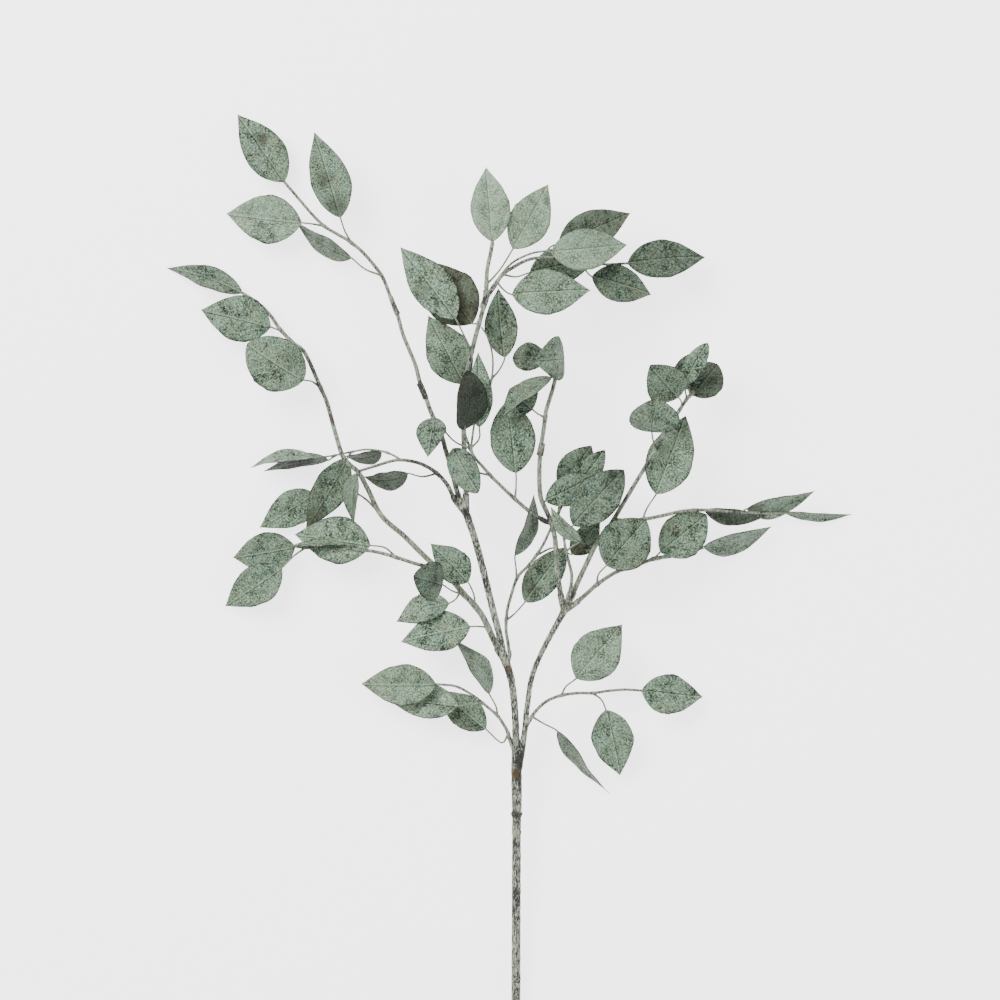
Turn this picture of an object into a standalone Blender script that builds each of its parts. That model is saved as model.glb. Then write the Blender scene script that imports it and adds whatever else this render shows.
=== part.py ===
"""Eucalyptus branch, cut and lying on a flat surface.

Metres, +Z up.  The stem runs along +Y from its cut end to the top of the branch, +X is to the
right of it seen from above, and the origin is the flat spot under the cut end, which rests on
the surface together with two low leaf tips.  Every place below is in millimetres, as a branch is
measured with a ruler laid on it, and is turned to metres where the shapes are made.
"""

import math
from collections import namedtuple

import bmesh
import bpy
from mathutils import Matrix, Vector

# Driving dimensions, in millimetres
MM = 0.001
GAP = 0.3
BLADE_THICKNESS = 0.8
BLADE_STEPS = 6
PETIOLE_RADIUS = 0.8
PETIOLE_SINK = 7.0
SOCKET_GROWTH = 1.22
SOCKET_LIP = 4.0
WELD = 1e-6

# How many sides a round stem gets, as the bevel resolution of its curve
ROUND_8 = 2
ROUND_6 = 1
ROUND_4 = 0

# The leaf outline: how it opens from the stalk, how it narrows to the tip, and how much less so
# in a blunt leaf
OPEN_POWER = 0.8
CLOSE_POWER = 1.2
BLUNT_OPENS = 0.15
BLUNT_CLOSES = 0.5

LEAF_GREEN = (0.215, 0.275, 0.225, 1.0)
BARK_GREEN = (0.235, 0.250, 0.205, 1.0)

Twig = namedtuple("Twig", "points start end sides")
Leaf = namedtuple("Leaf", "root via base tip width roll arch fold twist blunt")
Spray = namedtuple("Spray", "name twigs leaves sockets")


def twig(points, start, end, sides=ROUND_6):
    """A stem through these points, with its radius at the start and at the end."""
    return Twig(points, start, end, sides)


def leaf(root, via, base, tip, width, roll=0, arch=5, fold=0.14, twist=0, blunt=0):
    """A leaf: its stalk leaves the twig at root, passes via and meets the blade at base."""
    return Leaf(root, via, base, tip, width, roll, arch, fold, twist, blunt)


# The bare stem and its two leaders, each point with its own radius for the rings it carries
LEFT_STEM = [
    (0, -12, 3.4, 4.0), (0, 30, 3.4, 4.0), (0, 110, 8.6, 4.0), (0, 174, 13.6, 4.0),
    (0, 177, 13.9, 4.35), (0, 180, 14.1, 4.0), (0.3, 250, 19.6, 4.0), (0.5, 308, 24.2, 4.0),
    (0.5, 310, 24.4, 4.6), (0.5, 312, 24.5, 4.0), (0.6, 323, 25.3, 4.1), (0.8, 327, 25.6, 5.6),
    (0.8, 330, 25.9, 4.3), (0.7, 345, 26.8, 4.7), (0.4, 367, 28, 4.8), (0.2, 380, 29, 4.2),
    (0, 396, 31, 3.3), (-1, 420, 34, 3.1), (-3.5, 444, 37, 3.2), (-7, 458, 39, 3.6),
    (-10, 466, 40.5, 3.9), (-12, 474, 41.5, 3.3), (-14.6, 487, 43, 3.1), (-22, 516, 47, 3.1),
    (-31, 553, 52, 3.2), (-38, 578, 56, 3.2), (-44.5, 597, 58.5, 3.5),
]
RIGHT_STEM = [
    (2.5, 366, 27.8, 3.0), (5.5, 386, 30.5, 3.0), (8, 403, 33, 2.7), (9.5, 419, 36, 2.6),
    (13.5, 447, 40, 2.4), (20, 466, 43, 2.5), (31, 488, 46, 2.5), (41, 506, 49.5, 3.0),
    (43.5, 511, 50.5, 3.3),
]
MAIN_SOCKETS = [
    ((-0.5, 379, 29), "low_left_spray"),
    ((7.5, 400, 32.5), "low_right_spray"),
    ((-8, 462, 39.8), "left_frond"),
    ((-8, 460, 39.5), "centre_thin_twig"),
    ((-44, 595, 58.2), "left_arc_twig"),
    ((-44, 595, 58.2), "top_left_frond"),
    ((-44, 595, 58.2), "centre_frond"),
    ((43, 509, 50), "inner_right_frond"),
    ((43, 509, 50), "right_cluster"),
    ((43, 509, 50), "right_frond"),
    ((43, 509, 50), "right_lower_spray"),
]

LOW_LEFT_SPRAY = Spray(
    "low_left_spray",
    [twig([(-6, 396, 31), (-8, 402, 32), (-12, 409, 33), (-17, 416, 34), (-30, 427, 35),
           (-39, 434, 35), (-54, 442, 34), (-72, 444, 33)], 1.7, 1.1)],
    [leaf((-72, 444, 33), None, (-72, 444, 33), (-140, 444, 18), 38, roll=-6),
     leaf((-30, 427, 35), (-42, 426, 31), (-52, 424, 26), (-113, 427, 9), 33, roll=24),
     leaf((-7, 399, 31.5), (-13, 391, 27), (-27, 403, 18), (-72, 438, 7), 30, roll=8, arch=3),
     leaf((-17, 416, 34), (-18, 424, 34), (-24, 435, 32), (-56, 484, 24), 34, roll=60)],
    [],
)

LOW_RIGHT_SPRAY = Spray(
    "low_right_spray",
    [twig([(13, 412.5, 36), (18, 420, 37), (28, 429, 38), (41, 434, 38), (56, 436, 37),
           (69, 436, 35), (84, 438, 32), (99, 439, 29), (113, 438, 26)], 1.7, 1.1)],
    [leaf((41, 434, 38), (45, 442, 38), (54, 449, 38), (96, 498, 30), 43),
     leaf((113, 438, 26), None, (113, 438, 26), (169, 432, 12), 37, roll=5),
     leaf((69, 436, 35), (77, 430, 33), (81, 421, 30), (94, 361, 13), 38, roll=-4),
     leaf((14.5, 415, 36.3), (24, 409, 34), (37, 402, 30), (85, 344, 10), 22, roll=66,
          arch=3, fold=0.08, twist=40)],
    [],
)

LEFT_FROND = Spray(
    "left_frond",
    [twig([(-17, 478, 36), (-20.5, 485, 35), (-30, 505, 35), (-40, 518, 36), (-47, 525, 37),
           (-57, 537, 38), (-70, 548, 40), (-84, 561, 42), (-100, 577, 45), (-121, 596, 49),
           (-134, 621, 46), (-142, 635, 47), (-155, 648, 52), (-163, 672, 47), (-170, 697, 40),
           (-176, 711, 37), (-190, 742, 31), (-200, 751, 28), (-212, 763, 25), (-222, 777, 21),
           (-232, 787, 18), (-247, 797, 14)], 3.0, 1.5),
     twig([(-121, 596, 49), (-137, 612, 33), (-155, 620, 14), (-172, 620, 9)], 1.1, 0.8,
          ROUND_4)],
    [leaf((-50, 528, 37.5), (-54, 521, 38), (-60, 517, 37), (-108, 500, 22), 31, roll=34),
     leaf((-25, 495, 35), (-32, 496, 38), (-41, 496, 40), (-104, 482, 33), 37, roll=14),
     leaf((-47, 525, 37), (-57, 528, 46), (-66, 534, 55), (-92, 542, 88), 36, roll=8, arch=3, blunt=1),
     leaf((-37, 514, 35.5), (-38, 525, 42), (-43, 536, 46), (-77, 571, 51), 31, roll=10),
     leaf((-247, 797, 14), None, (-247, 797, 14), (-316, 820, 0.6), 24, roll=34, arch=6),
     leaf((-212, 763, 25), (-216, 764, 24), (-221, 766, 23), (-285, 782, 9), 43, roll=6),
     leaf((-176, 711, 37), (-184, 717, 38), (-191, 718, 38), (-242, 751, 44), 50, roll=-12, blunt=1),
     leaf((-172, 620, 9), None, (-182, 616, 8), (-232, 585, 13), 33, roll=-12, arch=3)],
    [((-68, 546, 39.7), "left_side_twig")],
)

LEFT_SIDE_TWIG = Spray(
    "left_side_twig",
    [twig([(-78, 550, 39), (-90, 552.5, 38.5), (-110, 559, 37), (-125, 563, 35),
           (-139, 565, 33.5), (-155, 566, 31.5), (-172, 566.5, 29), (-190, 567, 26),
           (-199, 568, 24)], 1.9, 1.2)],
    [leaf((-108, 558.4, 37.2), (-118, 567, 35), (-131, 569, 31), (-200, 579, 16), 43, roll=6),
     leaf((-139, 565, 33.5), (-146, 569, 35), (-153, 570, 35), (-205, 568, 30), 13, roll=58,
          arch=3),
     leaf((-199, 568, 24), None, (-199, 568, 24), (-256, 558, 6), 37, roll=-6),
     leaf((-190, 567, 26), (-201, 559, 28), (-211, 549, 26), (-263, 514, 9), 36, roll=-4)],
    [],
)

LEFT_ARC_TWIG = Spray(
    "left_arc_twig",
    [twig([(-57, 614, 62.5), (-62, 624, 62.5), (-70, 633, 61.5), (-80, 640, 59.5),
           (-90, 644, 58), (-103, 646, 56.5), (-112, 645, 56), (-125, 641, 56.5),
           (-141, 636, 58)], 2.1, 1.3),
     twig([(-103, 646, 56.5), (-112, 651, 51), (-121, 654, 46), (-135, 655.5, 40),
           (-150, 653, 35), (-165, 650, 32), (-183, 648, 30)], 1.1, 0.8)],
    [leaf((-183, 648, 30), None, (-183, 648, 30), (-240, 639, 18), 28, roll=68),
     leaf((-163, 650, 32.4), (-166, 648, 30), (-169, 646, 27), (-228, 636, 10), 24, roll=60,
          arch=3),
     leaf((-116, 652.5, 48.8), (-118, 653, 47), (-121, 654, 44), (-155, 650, 26), 26, roll=-64,
          arch=4),
     leaf((-71, 634, 61.3), (-84, 631, 58), (-97, 634, 54), (-137, 631, 45), 32, roll=-58),
     leaf((-148, 653.4, 35.7), (-150, 651, 34), (-152, 648, 32), (-190, 584, 11), 32, roll=-12,
          arch=4),
     leaf((-141, 636, 58), None, (-143, 634, 57), (-146, 589, 41), 26, roll=56, arch=4)],
    [],
)

TOP_LEFT_FROND = Spray(
    "top_left_frond",
    [twig([(-52.5, 616, 60), (-55, 625, 60), (-58, 638, 60), (-63, 654, 60), (-67, 668, 60),
           (-76, 688, 59), (-80, 699, 58), (-83, 707, 57.5), (-86, 714, 57), (-90, 730, 55),
           (-96, 745, 54), (-102, 760, 52), (-107, 778, 50), (-112, 790, 48), (-121, 812, 44),
           (-137, 832, 40), (-150, 843, 37), (-160, 849, 34), (-173, 857, 30), (-185, 869, 26),
           (-197, 883, 23), (-209, 897, 20)], 2.4, 1.3),
     twig([(-81, 701, 58), (-84.5, 710, 57.6), (-87, 715, 57)], 2.7, 2.9),
     twig([(-106.5, 777, 50.2), (-109, 783, 49.4), (-113, 793, 47.6)], 2.6, 2.1)],
    [leaf((-209, 897, 20), None, (-209, 897, 20), (-252, 959, 7), 38, roll=8),
     leaf((-148, 841.5, 37.4), (-154, 852, 40), (-158, 864, 42), (-182, 942, 31), 36, roll=10),
     leaf((-173, 857, 30), (-184, 859, 31), (-193, 860, 30), (-262, 869, 10), 44, roll=-5),
     leaf((-121, 812, 44), (-136, 818, 39), (-148, 828, 34), (-199, 862, 12), 28, roll=-58,
          arch=4)],
    [],
)

CENTRE_FROND = Spray(
    "centre_frond",
    [twig([(-45, 616, 60), (-45, 626, 60.5), (-46, 645, 62), (-47, 670, 64), (-47, 690, 66),
           (-46, 710, 68), (-43, 730, 71), (-38, 750, 74), (-34, 765, 77), (-30, 780, 79),
           (-27, 792, 81), (-26, 815, 82), (-23, 830, 82), (-21, 841, 81)], 2.5, 1.8),
     twig([(-46, 711, 68), (-43, 727, 72.5), (-39, 745, 77), (-35, 760, 80), (-30, 777, 82),
           (-27, 790, 82)], 1.4, 1.4),
     twig([(-30, 782, 79.5), (-27, 791, 81), (-26.5, 798, 81.5)], 3.0, 3.0)],
    [leaf((-21, 841, 81), None, (-21, 841, 81), (-27, 909, 64), 36, roll=6),
     leaf((-26.3, 803, 81.6), (-14, 817, 78), (-3, 835, 73), (29, 894, 54), 37, roll=8),
     leaf((-40, 743, 73), (-46, 756, 82), (-54, 772, 87), (-104, 837, 72), 38, roll=10),
     leaf((-33, 768, 77.3), (-36, 768, 75), (-39, 768, 72), (-78, 825, 60), 49, roll=-12),
     leaf((-46.5, 700, 67), (-48, 707, 66), (-46.5, 714, 64), (-79, 776, 52), 40, roll=4)],
    [((-28, 789, 80.5), "top_right_spray")],
)

TOP_RIGHT_SPRAY = Spray(
    "top_right_spray",
    [twig([(-18.5, 803, 84), (-12, 812, 86), (-3, 818, 86), (8, 824, 83), (20, 827, 76),
           (45, 827, 62), (60, 824, 56), (80, 822, 50), (100, 823, 45)], 1.9, 1.1),
     twig([(-14, 809, 85.5), (-8, 818, 89), (1, 825, 91), (15, 831, 89), (28, 833, 85)], 1.2,
          0.9)],
    [leaf((28, 833, 85), None, (31, 832, 84), (100, 839, 66), 38, roll=6),
     leaf((28, 833, 85), (31, 837, 78), (38, 840, 71), (103, 868, 54), 37, roll=10),
     leaf((-12, 812, 86), (0, 810, 78), (12, 814, 67), (71, 825, 38), 33, roll=-12),
     leaf((-17, 805, 84.6), (-11, 798, 85), (-4, 794, 84), (67, 798, 72), 41, roll=-4),
     leaf((60, 824, 56), (63, 816, 54), (68, 811, 51), (122, 795, 32), 34, roll=-10),
     leaf((100, 823, 45), None, (100, 823, 45), (171, 829, 24), 36, roll=-14)],
    [],
)

DIAGONAL_TWIG = Spray(
    "diagonal_twig",
    [twig([(22, 593.5, 64.5), (13, 599, 65.5), (0, 610, 67), (-15, 624, 69), (-22, 631, 70),
           (-30, 640, 71), (-37, 648, 71.5), (-41, 656, 72), (-44, 664, 73), (-47, 673, 76)],
          2.0, 1.1),
     twig([(-40.5, 655, 72), (-39, 668, 66), (-36, 684, 60), (-28, 700, 56), (-22, 718, 54),
           (-21, 738, 57), (-25, 755, 62), (-31, 765, 68)], 1.1, 0.8, ROUND_4)],
    [leaf((-47, 673, 76), None, (-47, 673, 76), (-44, 726, 96), 36, roll=38, arch=8, blunt=1),
     leaf((-41, 656, 72), (-33, 665, 71), (-33, 675, 71), (-34, 743, 79), 24, roll=8, arch=4),
     leaf((-41, 656, 72), (-57, 664, 72), (-73, 684, 73), (-79, 648, 99), 27, roll=12, arch=3),
     leaf((-23, 632, 70), (-38, 637, 70), (-57, 656, 73), (-34, 616, 96), 27, roll=10, arch=3, blunt=1),
     leaf((-1, 611, 66.9), (0, 622, 65), (0, 634, 62), (-7, 700, 42), 41, roll=3, blunt=0.6),
     leaf((-22, 719, 54), (-15, 727, 53), (-10, 738, 51), (-16, 801, 38), 30, roll=-8)],
    [],
)

CENTRE_THIN_TWIG = Spray(
    "centre_thin_twig",
    [twig([(-6.3, 475, 45.3), (-7.4, 483, 47.8), (-9, 494, 50), (-8, 510, 52), (-5, 522, 53),
           (1, 540, 54), (10, 550, 55), (18, 560, 56), (25, 571, 56), (31, 584, 55),
           (38, 598, 54), (42, 606, 53)], 1.6, 1.2)],
    [leaf((42, 606, 53), None, (42, 606, 53), (80, 655, 47), 26, roll=6, arch=4, blunt=0.8),
     leaf((38, 598, 54), (39, 608, 48), (40, 620, 44), (68, 659, 37), 32, roll=8, arch=4, blunt=0.5),
     leaf((-8.5, 502, 51), (-1, 508, 48), (8, 518, 45), (45, 567, 38), 31, roll=-6, blunt=0.7),
     leaf((0.5, 539, 54), (0, 549, 54), (-1, 560, 53), (16, 615, 48), 28, roll=60),
     leaf((18, 560, 56), (34, 567, 50), (50, 561, 45), (76, 592, 40), 24, roll=10, arch=3)],
    [],
)

INNER_RIGHT_FROND = Spray(
    "inner_right_frond",
    [twig([(40, 526, 53.5), (39, 532, 54.5), (37, 545, 57), (36, 560, 59), (35, 575, 61),
           (32, 588, 63), (29, 596, 64), (25, 605, 65), (22, 613, 66), (21, 625, 67),
           (21, 640, 68), (22, 655, 69), (25, 675, 70), (27, 690, 71), (30, 700, 71),
           (33, 710, 71), (36, 722, 71), (39, 733, 71)], 2.5, 1.8, ROUND_8),
     twig([(21.3, 650, 68.7), (22.6, 656, 69.2), (23.4, 661, 69.4)], 3.2, 2.9)],
    [leaf((39, 733, 71), None, (43, 738, 73), (14, 735, 100), 40, roll=-4, fold=0.2),
     leaf((36, 722, 71), (34, 730, 70), (28, 736, 68), (-3, 738, 56), 26, roll=12, arch=6, blunt=1),
     leaf((36, 721, 71), None, (32, 720, 73), (-12, 684, 76), 24, roll=48, arch=6, fold=0.2),
     leaf((26, 684, 70.5), (20, 687, 68), (15, 691, 65), (-6, 710, 56), 40, roll=-6, arch=3, blunt=0.5),
     leaf((24.6, 606, 65), None, (26, 609, 64.5), (75, 634, 54), 27, roll=8, arch=4)],
    [((31.6, 589, 63.2), "diagonal_twig")],
)

RIGHT_CLUSTER = Spray(
    "right_cluster",
    [twig([(48, 527, 56), (49.5, 533, 58), (50, 543, 61), (47, 556, 65), (44, 568, 68),
           (43, 578, 70)], 1.8, 1.2)],
    [leaf((43, 577, 70), (46, 583, 71), (51, 587, 71), (97, 637, 60), 40, roll=-6, blunt=0.7),
     leaf((45, 564, 67), (51, 569, 72), (58, 573, 75), (31, 604, 78), 20, roll=-50, arch=4)],
    [],
)

RIGHT_FROND = Spray(
    "right_frond",
    [twig([(52, 528, 50), (56, 537, 51), (63, 552, 52.5), (72, 570, 54), (85, 588, 55),
           (94, 603, 56), (112, 633, 57), (126, 656, 58), (138, 677, 58), (147, 691, 57),
           (153, 700, 56), (160, 708, 54)], 2.6, 1.4)],
    [leaf((126, 656, 58), (123, 664, 60), (122, 671, 63), (126, 701, 96), 46, roll=4, arch=3, blunt=1),
     leaf((147, 691, 57), (149, 697, 60), (146, 702, 63), (120, 731, 84), 38, roll=-8, arch=3, blunt=0.6),
     leaf((153, 700, 56), (153, 704, 54), (152, 709, 52), (160, 743, 40), 28, roll=6, arch=3, blunt=0.5),
     leaf((157, 704, 55), (155, 709, 59), (151, 714, 62), (172, 751, 72), 19, roll=-8, arch=4, blunt=1),
     leaf((160, 708, 54), (160, 706, 50), (159, 704, 47), (182, 732, 38), 33, roll=6, arch=3, blunt=1)],
    [((86, 589.5, 55.1), "right_middle_spray")],
)

RIGHT_MIDDLE_SPRAY = Spray(
    "right_middle_spray",
    [twig([(95, 591.5, 53.5), (104, 592, 52), (114, 592.5, 50), (132, 596, 47), (150, 600, 43),
           (169, 601, 38), (187, 600, 33), (205, 599, 27), (217, 598.5, 23.5), (229, 598, 20),
           (242, 599, 17)], 2.0, 1.1)],
    [leaf((114, 592.5, 50), (118, 603, 48), (126, 615, 45), (153, 686, 38), 42, roll=4, blunt=0.3),
     leaf((242, 599, 17), None, (242, 599, 17), (304, 597, 0.6), 12, roll=50, arch=4),
     leaf((205, 599, 27), (206, 601, 28), (208, 602, 28), (270, 618, 11), 32, roll=56),
     leaf((160, 600.5, 40.5), (165, 601, 35), (170, 601, 29), (228, 596, 9), 22, roll=48)],
    [],
)

RIGHT_LOWER_SPRAY = Spray(
    "right_lower_spray",
    [twig([(57, 520, 47.5), (65, 527, 46.8), (73, 534, 46), (90, 545, 43), (108, 551, 40),
           (124, 557, 37), (139, 560, 34), (154, 562.5, 31), (168, 567, 28)], 2.2, 1.3)],
    [leaf((73, 534, 46), (74, 543, 53), (81, 551, 60), (117, 592, 66), 48, roll=0, arch=4, blunt=0.8),
     leaf((124, 557, 37), (127, 560, 37), (130, 563, 36), (172, 597, 29), 41, roll=8, blunt=0.7),
     leaf((168, 567, 28), None, (169, 568, 28), (231, 586, 9), 34, roll=56),
     leaf((124, 557, 37), (127, 556, 33), (131, 557, 29), (171, 566, 17), 13, roll=-60,
          arch=3)],
    [],
)

SPRAYS = [
    LOW_LEFT_SPRAY, LOW_RIGHT_SPRAY, LEFT_FROND, LEFT_SIDE_TWIG, LEFT_ARC_TWIG,
    TOP_LEFT_FROND, CENTRE_FROND, TOP_RIGHT_SPRAY, DIAGONAL_TWIG, CENTRE_THIN_TWIG,
    INNER_RIGHT_FROND, RIGHT_CLUSTER, RIGHT_FROND, RIGHT_MIDDLE_SPRAY, RIGHT_LOWER_SPRAY,
]
SPRAY_NAMED = {spray.name: spray for spray in SPRAYS}


def clear_scene():
    for item in list(bpy.data.objects):
        bpy.data.objects.remove(item, do_unlink=True)


def make_collection(name):
    collection = bpy.data.collections.new(name)
    bpy.context.scene.collection.children.link(collection)
    return collection


def make_material(name, colour, roughness):
    material = bpy.data.materials.new(name)
    material.use_nodes = True
    shader = material.node_tree.nodes["Principled BSDF"]
    shader.inputs["Base Color"].default_value = colour
    shader.inputs["Roughness"].default_value = roughness
    shader.inputs["Metallic"].default_value = 0.0
    return material


def evaluated_mesh(item):
    depsgraph = bpy.context.evaluated_depsgraph_get()
    return bpy.data.meshes.new_from_object(item.evaluated_get(depsgraph))


def tube(name, points, radii, sides, collection):
    """A round stem along the points, made as a curve and turned into a closed mesh."""
    curve = bpy.data.curves.new(name, "CURVE")
    curve.dimensions = "3D"
    curve.bevel_depth = MM
    curve.bevel_resolution = sides
    curve.use_fill_caps = True
    spline = curve.splines.new("POLY")
    spline.points.add(len(points) - 1)
    for knot, place, radius in zip(spline.points, points, radii):
        knot.co = (place[0] * MM, place[1] * MM, place[2] * MM, 1.0)
        knot.radius = radius
    guide = bpy.data.objects.new(name + "_guide", curve)
    collection.objects.link(guide)
    mesh = evaluated_mesh(guide)
    stem = bpy.data.objects.new(name, mesh)
    stem.matrix_world = guide.matrix_world
    collection.objects.link(stem)
    bpy.data.objects.remove(guide, do_unlink=True)
    weld(mesh)
    return stem


def weld(mesh):
    work = bmesh.new()
    work.from_mesh(mesh)
    bmesh.ops.remove_doubles(work, verts=work.verts, dist=WELD)
    bmesh.ops.recalc_face_normals(work, faces=work.faces)
    work.to_mesh(mesh)
    work.free()


def tapered(count, start, end):
    return [start + (end - start) * step / (count - 1) for step in range(count)]


def half_width(blade, along):
    """Half the leaf's width at a share of its length, widest near the stalk end."""
    opens = OPEN_POWER - BLUNT_OPENS * blade.blunt
    closes = CLOSE_POWER - BLUNT_CLOSES * blade.blunt
    widest = opens / (opens + closes)
    opening = (along / widest) ** opens
    closing = ((1 - along) / (1 - widest)) ** closes
    return 0.5 * blade.width * opening * closing


def blade_frame(blade):
    """The leaf's own axes: along the midrib, across the blade, and out of its upper face."""
    base = Vector(blade.base)
    along = (Vector(blade.tip) - base).normalized()
    across = Vector((0, 0, 1)).cross(along).normalized()
    across = Matrix.Rotation(math.radians(blade.roll), 3, along) @ across
    return base, along, across, along.cross(across)


def blade_point(blade, share, side):
    """A point of the leaf, from a share of its length and a side from -1 to 1."""
    base, along, across, up = blade_frame(blade)
    length = (Vector(blade.tip) - base).length
    half = half_width(blade, share)
    turn = math.radians(blade.twist) * (share - 0.5)
    lift = blade.arch * math.sin(math.pi * share)
    sideways = side * half
    upward = blade.fold * abs(side) * half
    turned = sideways * math.cos(turn) - upward * math.sin(turn)
    raised = sideways * math.sin(turn) + upward * math.cos(turn) + lift
    return base + along * (length * share) + across * turned + up * raised


def blade_object(name, blade, collection):
    """One leaf as a folded, arched sheet with a thickness."""
    work = bmesh.new()
    bmesh.ops.create_grid(work, x_segments=BLADE_STEPS, y_segments=2, size=0.5)
    for vert in work.verts:
        share = min(max(vert.co.x + 0.5, 0.0), 1.0)
        vert.co = blade_point(blade, share, 2 * vert.co.y) * MM
    bmesh.ops.remove_doubles(work, verts=work.verts, dist=WELD)
    bmesh.ops.triangulate(work, faces=work.faces)
    mesh = bpy.data.meshes.new(name)
    work.to_mesh(mesh)
    work.free()
    sheet = bpy.data.objects.new(name, mesh)
    collection.objects.link(sheet)
    shell = sheet.modifiers.new("thickness", "SOLIDIFY")
    shell.thickness = BLADE_THICKNESS * MM
    shell.offset = 0.0
    return sheet


def petiole_object(name, blade, collection):
    """The leaf's stalk, rooted in the twig and sunk into the blade along its midrib."""
    length = (Vector(blade.tip) - Vector(blade.base)).length
    inside = blade_point(blade, PETIOLE_SINK / length, 0.0)
    route = [Vector(blade.root)]
    if blade.via is not None:
        route.append(Vector(blade.via))
    if (Vector(blade.base) - route[-1]).length > PETIOLE_RADIUS:
        route.append(Vector(blade.base))
    route.append(inside)
    radii = [PETIOLE_RADIUS] * len(route)
    return tube(name, route, radii, ROUND_4, collection)


def leaf_objects(spray, collection):
    pieces = []
    for number, blade in enumerate(spray.leaves):
        label = f"{spray.name}_leaf_{number}"
        pieces.append(blade_object(label, blade, collection))
        pieces.append(petiole_object(label + "_stalk", blade, collection))
    return pieces


def seated(points):
    """The route with its first point drawn back from the socket by the gap between them."""
    first, second = Vector(points[0]), Vector(points[1])
    start = first + (second - first).normalized() * GAP
    return [start] + [Vector(point) for point in points[1:]]


def socket_object(parent_place, child, collection):
    """The short collar on the parent stem that the child twig stands in front of."""
    stem = child.twigs[0]
    mouth, beyond = Vector(stem.points[0]), Vector(stem.points[1])
    lip = mouth - (beyond - mouth).normalized() * SOCKET_LIP
    radius = stem.start * SOCKET_GROWTH
    radii = [stem.start, radius, radius]
    return tube(child.name + "_socket", [parent_place, lip, mouth], radii, ROUND_6, collection)


def socket_objects(sockets, collection):
    return [socket_object(place, SPRAY_NAMED[name], collection) for place, name in sockets]


def fuse(body, pieces, collection, model):
    """Joins the pieces to the body with one Boolean union and keeps the result."""
    for piece in pieces:
        collection.objects.unlink(piece)
    group = make_collection(body.name + "_pieces")
    for piece in pieces:
        group.objects.link(piece)
    union = body.modifiers.new("union", "BOOLEAN")
    union.operation = "UNION"
    union.operand_type = "COLLECTION"
    union.collection = group
    union.solver = "EXACT"
    mesh = evaluated_mesh(body)
    body.modifiers.clear()
    body.data = mesh
    collection.objects.unlink(body)
    model.objects.link(body)
    for piece in pieces:
        bpy.data.objects.remove(piece, do_unlink=True)
    bpy.data.collections.remove(group)
    return body


def finish(body, material):
    body.data.materials.clear()
    body.data.materials.append(material)
    body.data.shade_smooth()
    body.data.set_sharp_from_angle(angle=math.radians(40))


def flatten_rest(body):
    """Shaves the underside of the stem flat where it lies on the surface, at height 0."""
    work = bmesh.new()
    work.from_mesh(body.data)
    everything = work.verts[:] + work.edges[:] + work.faces[:]
    cut = bmesh.ops.bisect_plane(work, geom=everything, dist=WELD, plane_co=(0, 0, 0),
                                 plane_no=(0, 0, -1), clear_outer=True)
    rim = [item for item in cut["geom_cut"] if isinstance(item, bmesh.types.BMEdge)]
    bmesh.ops.edgeloop_fill(work, edges=rim)
    bmesh.ops.recalc_face_normals(work, faces=work.faces)
    work.to_mesh(body.data)
    work.free()


def stem_object(name, knots, collection):
    places = [knot[:3] for knot in knots]
    radii = [knot[3] for knot in knots]
    return tube(name, places, radii, ROUND_8, collection)


def make_main_stem(collection, model, bark):
    body = stem_object("main_stem", LEFT_STEM, collection)
    right = stem_object("right_leader", RIGHT_STEM, collection)
    pieces = [right] + socket_objects(MAIN_SOCKETS, collection)
    fuse(body, pieces, collection, model)
    flatten_rest(body)
    finish(body, bark)


def make_spray(spray, collection, model, green):
    stem = spray.twigs[0]
    radii = tapered(len(stem.points), stem.start, stem.end)
    body = tube(spray.name, seated(stem.points), radii, stem.sides, collection)
    pieces = socket_objects(spray.sockets, collection)
    for number, side in enumerate(spray.twigs[1:]):
        radii = tapered(len(side.points), side.start, side.end)
        label = f"{spray.name}_twig_{number}"
        pieces.append(tube(label, side.points, radii, side.sides, collection))
    pieces += leaf_objects(spray, collection)
    fuse(body, pieces, collection, model)
    finish(body, green)


def main():
    clear_scene()
    model = make_collection("eucalyptus_branch")
    workshop = make_collection("workshop")
    bark = make_material("grey_green_bark", BARK_GREEN, 0.8)
    green = make_material("waxy_leaf", LEAF_GREEN, 0.6)
    make_main_stem(workshop, model, bark)
    for spray in SPRAYS:
        make_spray(spray, workshop, model, green)
    bpy.data.collections.remove(workshop)


main()
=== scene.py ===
# %% [markdown]
# # A cut branch of eucalyptus
# The branch lies on a pale surface and is seen from above. A imported model of it gives every place and
# size, and this lesson dresses that model: it makes smooth stems and thin, veined leaves in the same
# places. The imported model is loaded first.

# %% Load the imported model
import math
from collections import namedtuple

import bmesh
import bpy
from mathutils import Matrix, Vector, noise


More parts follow.
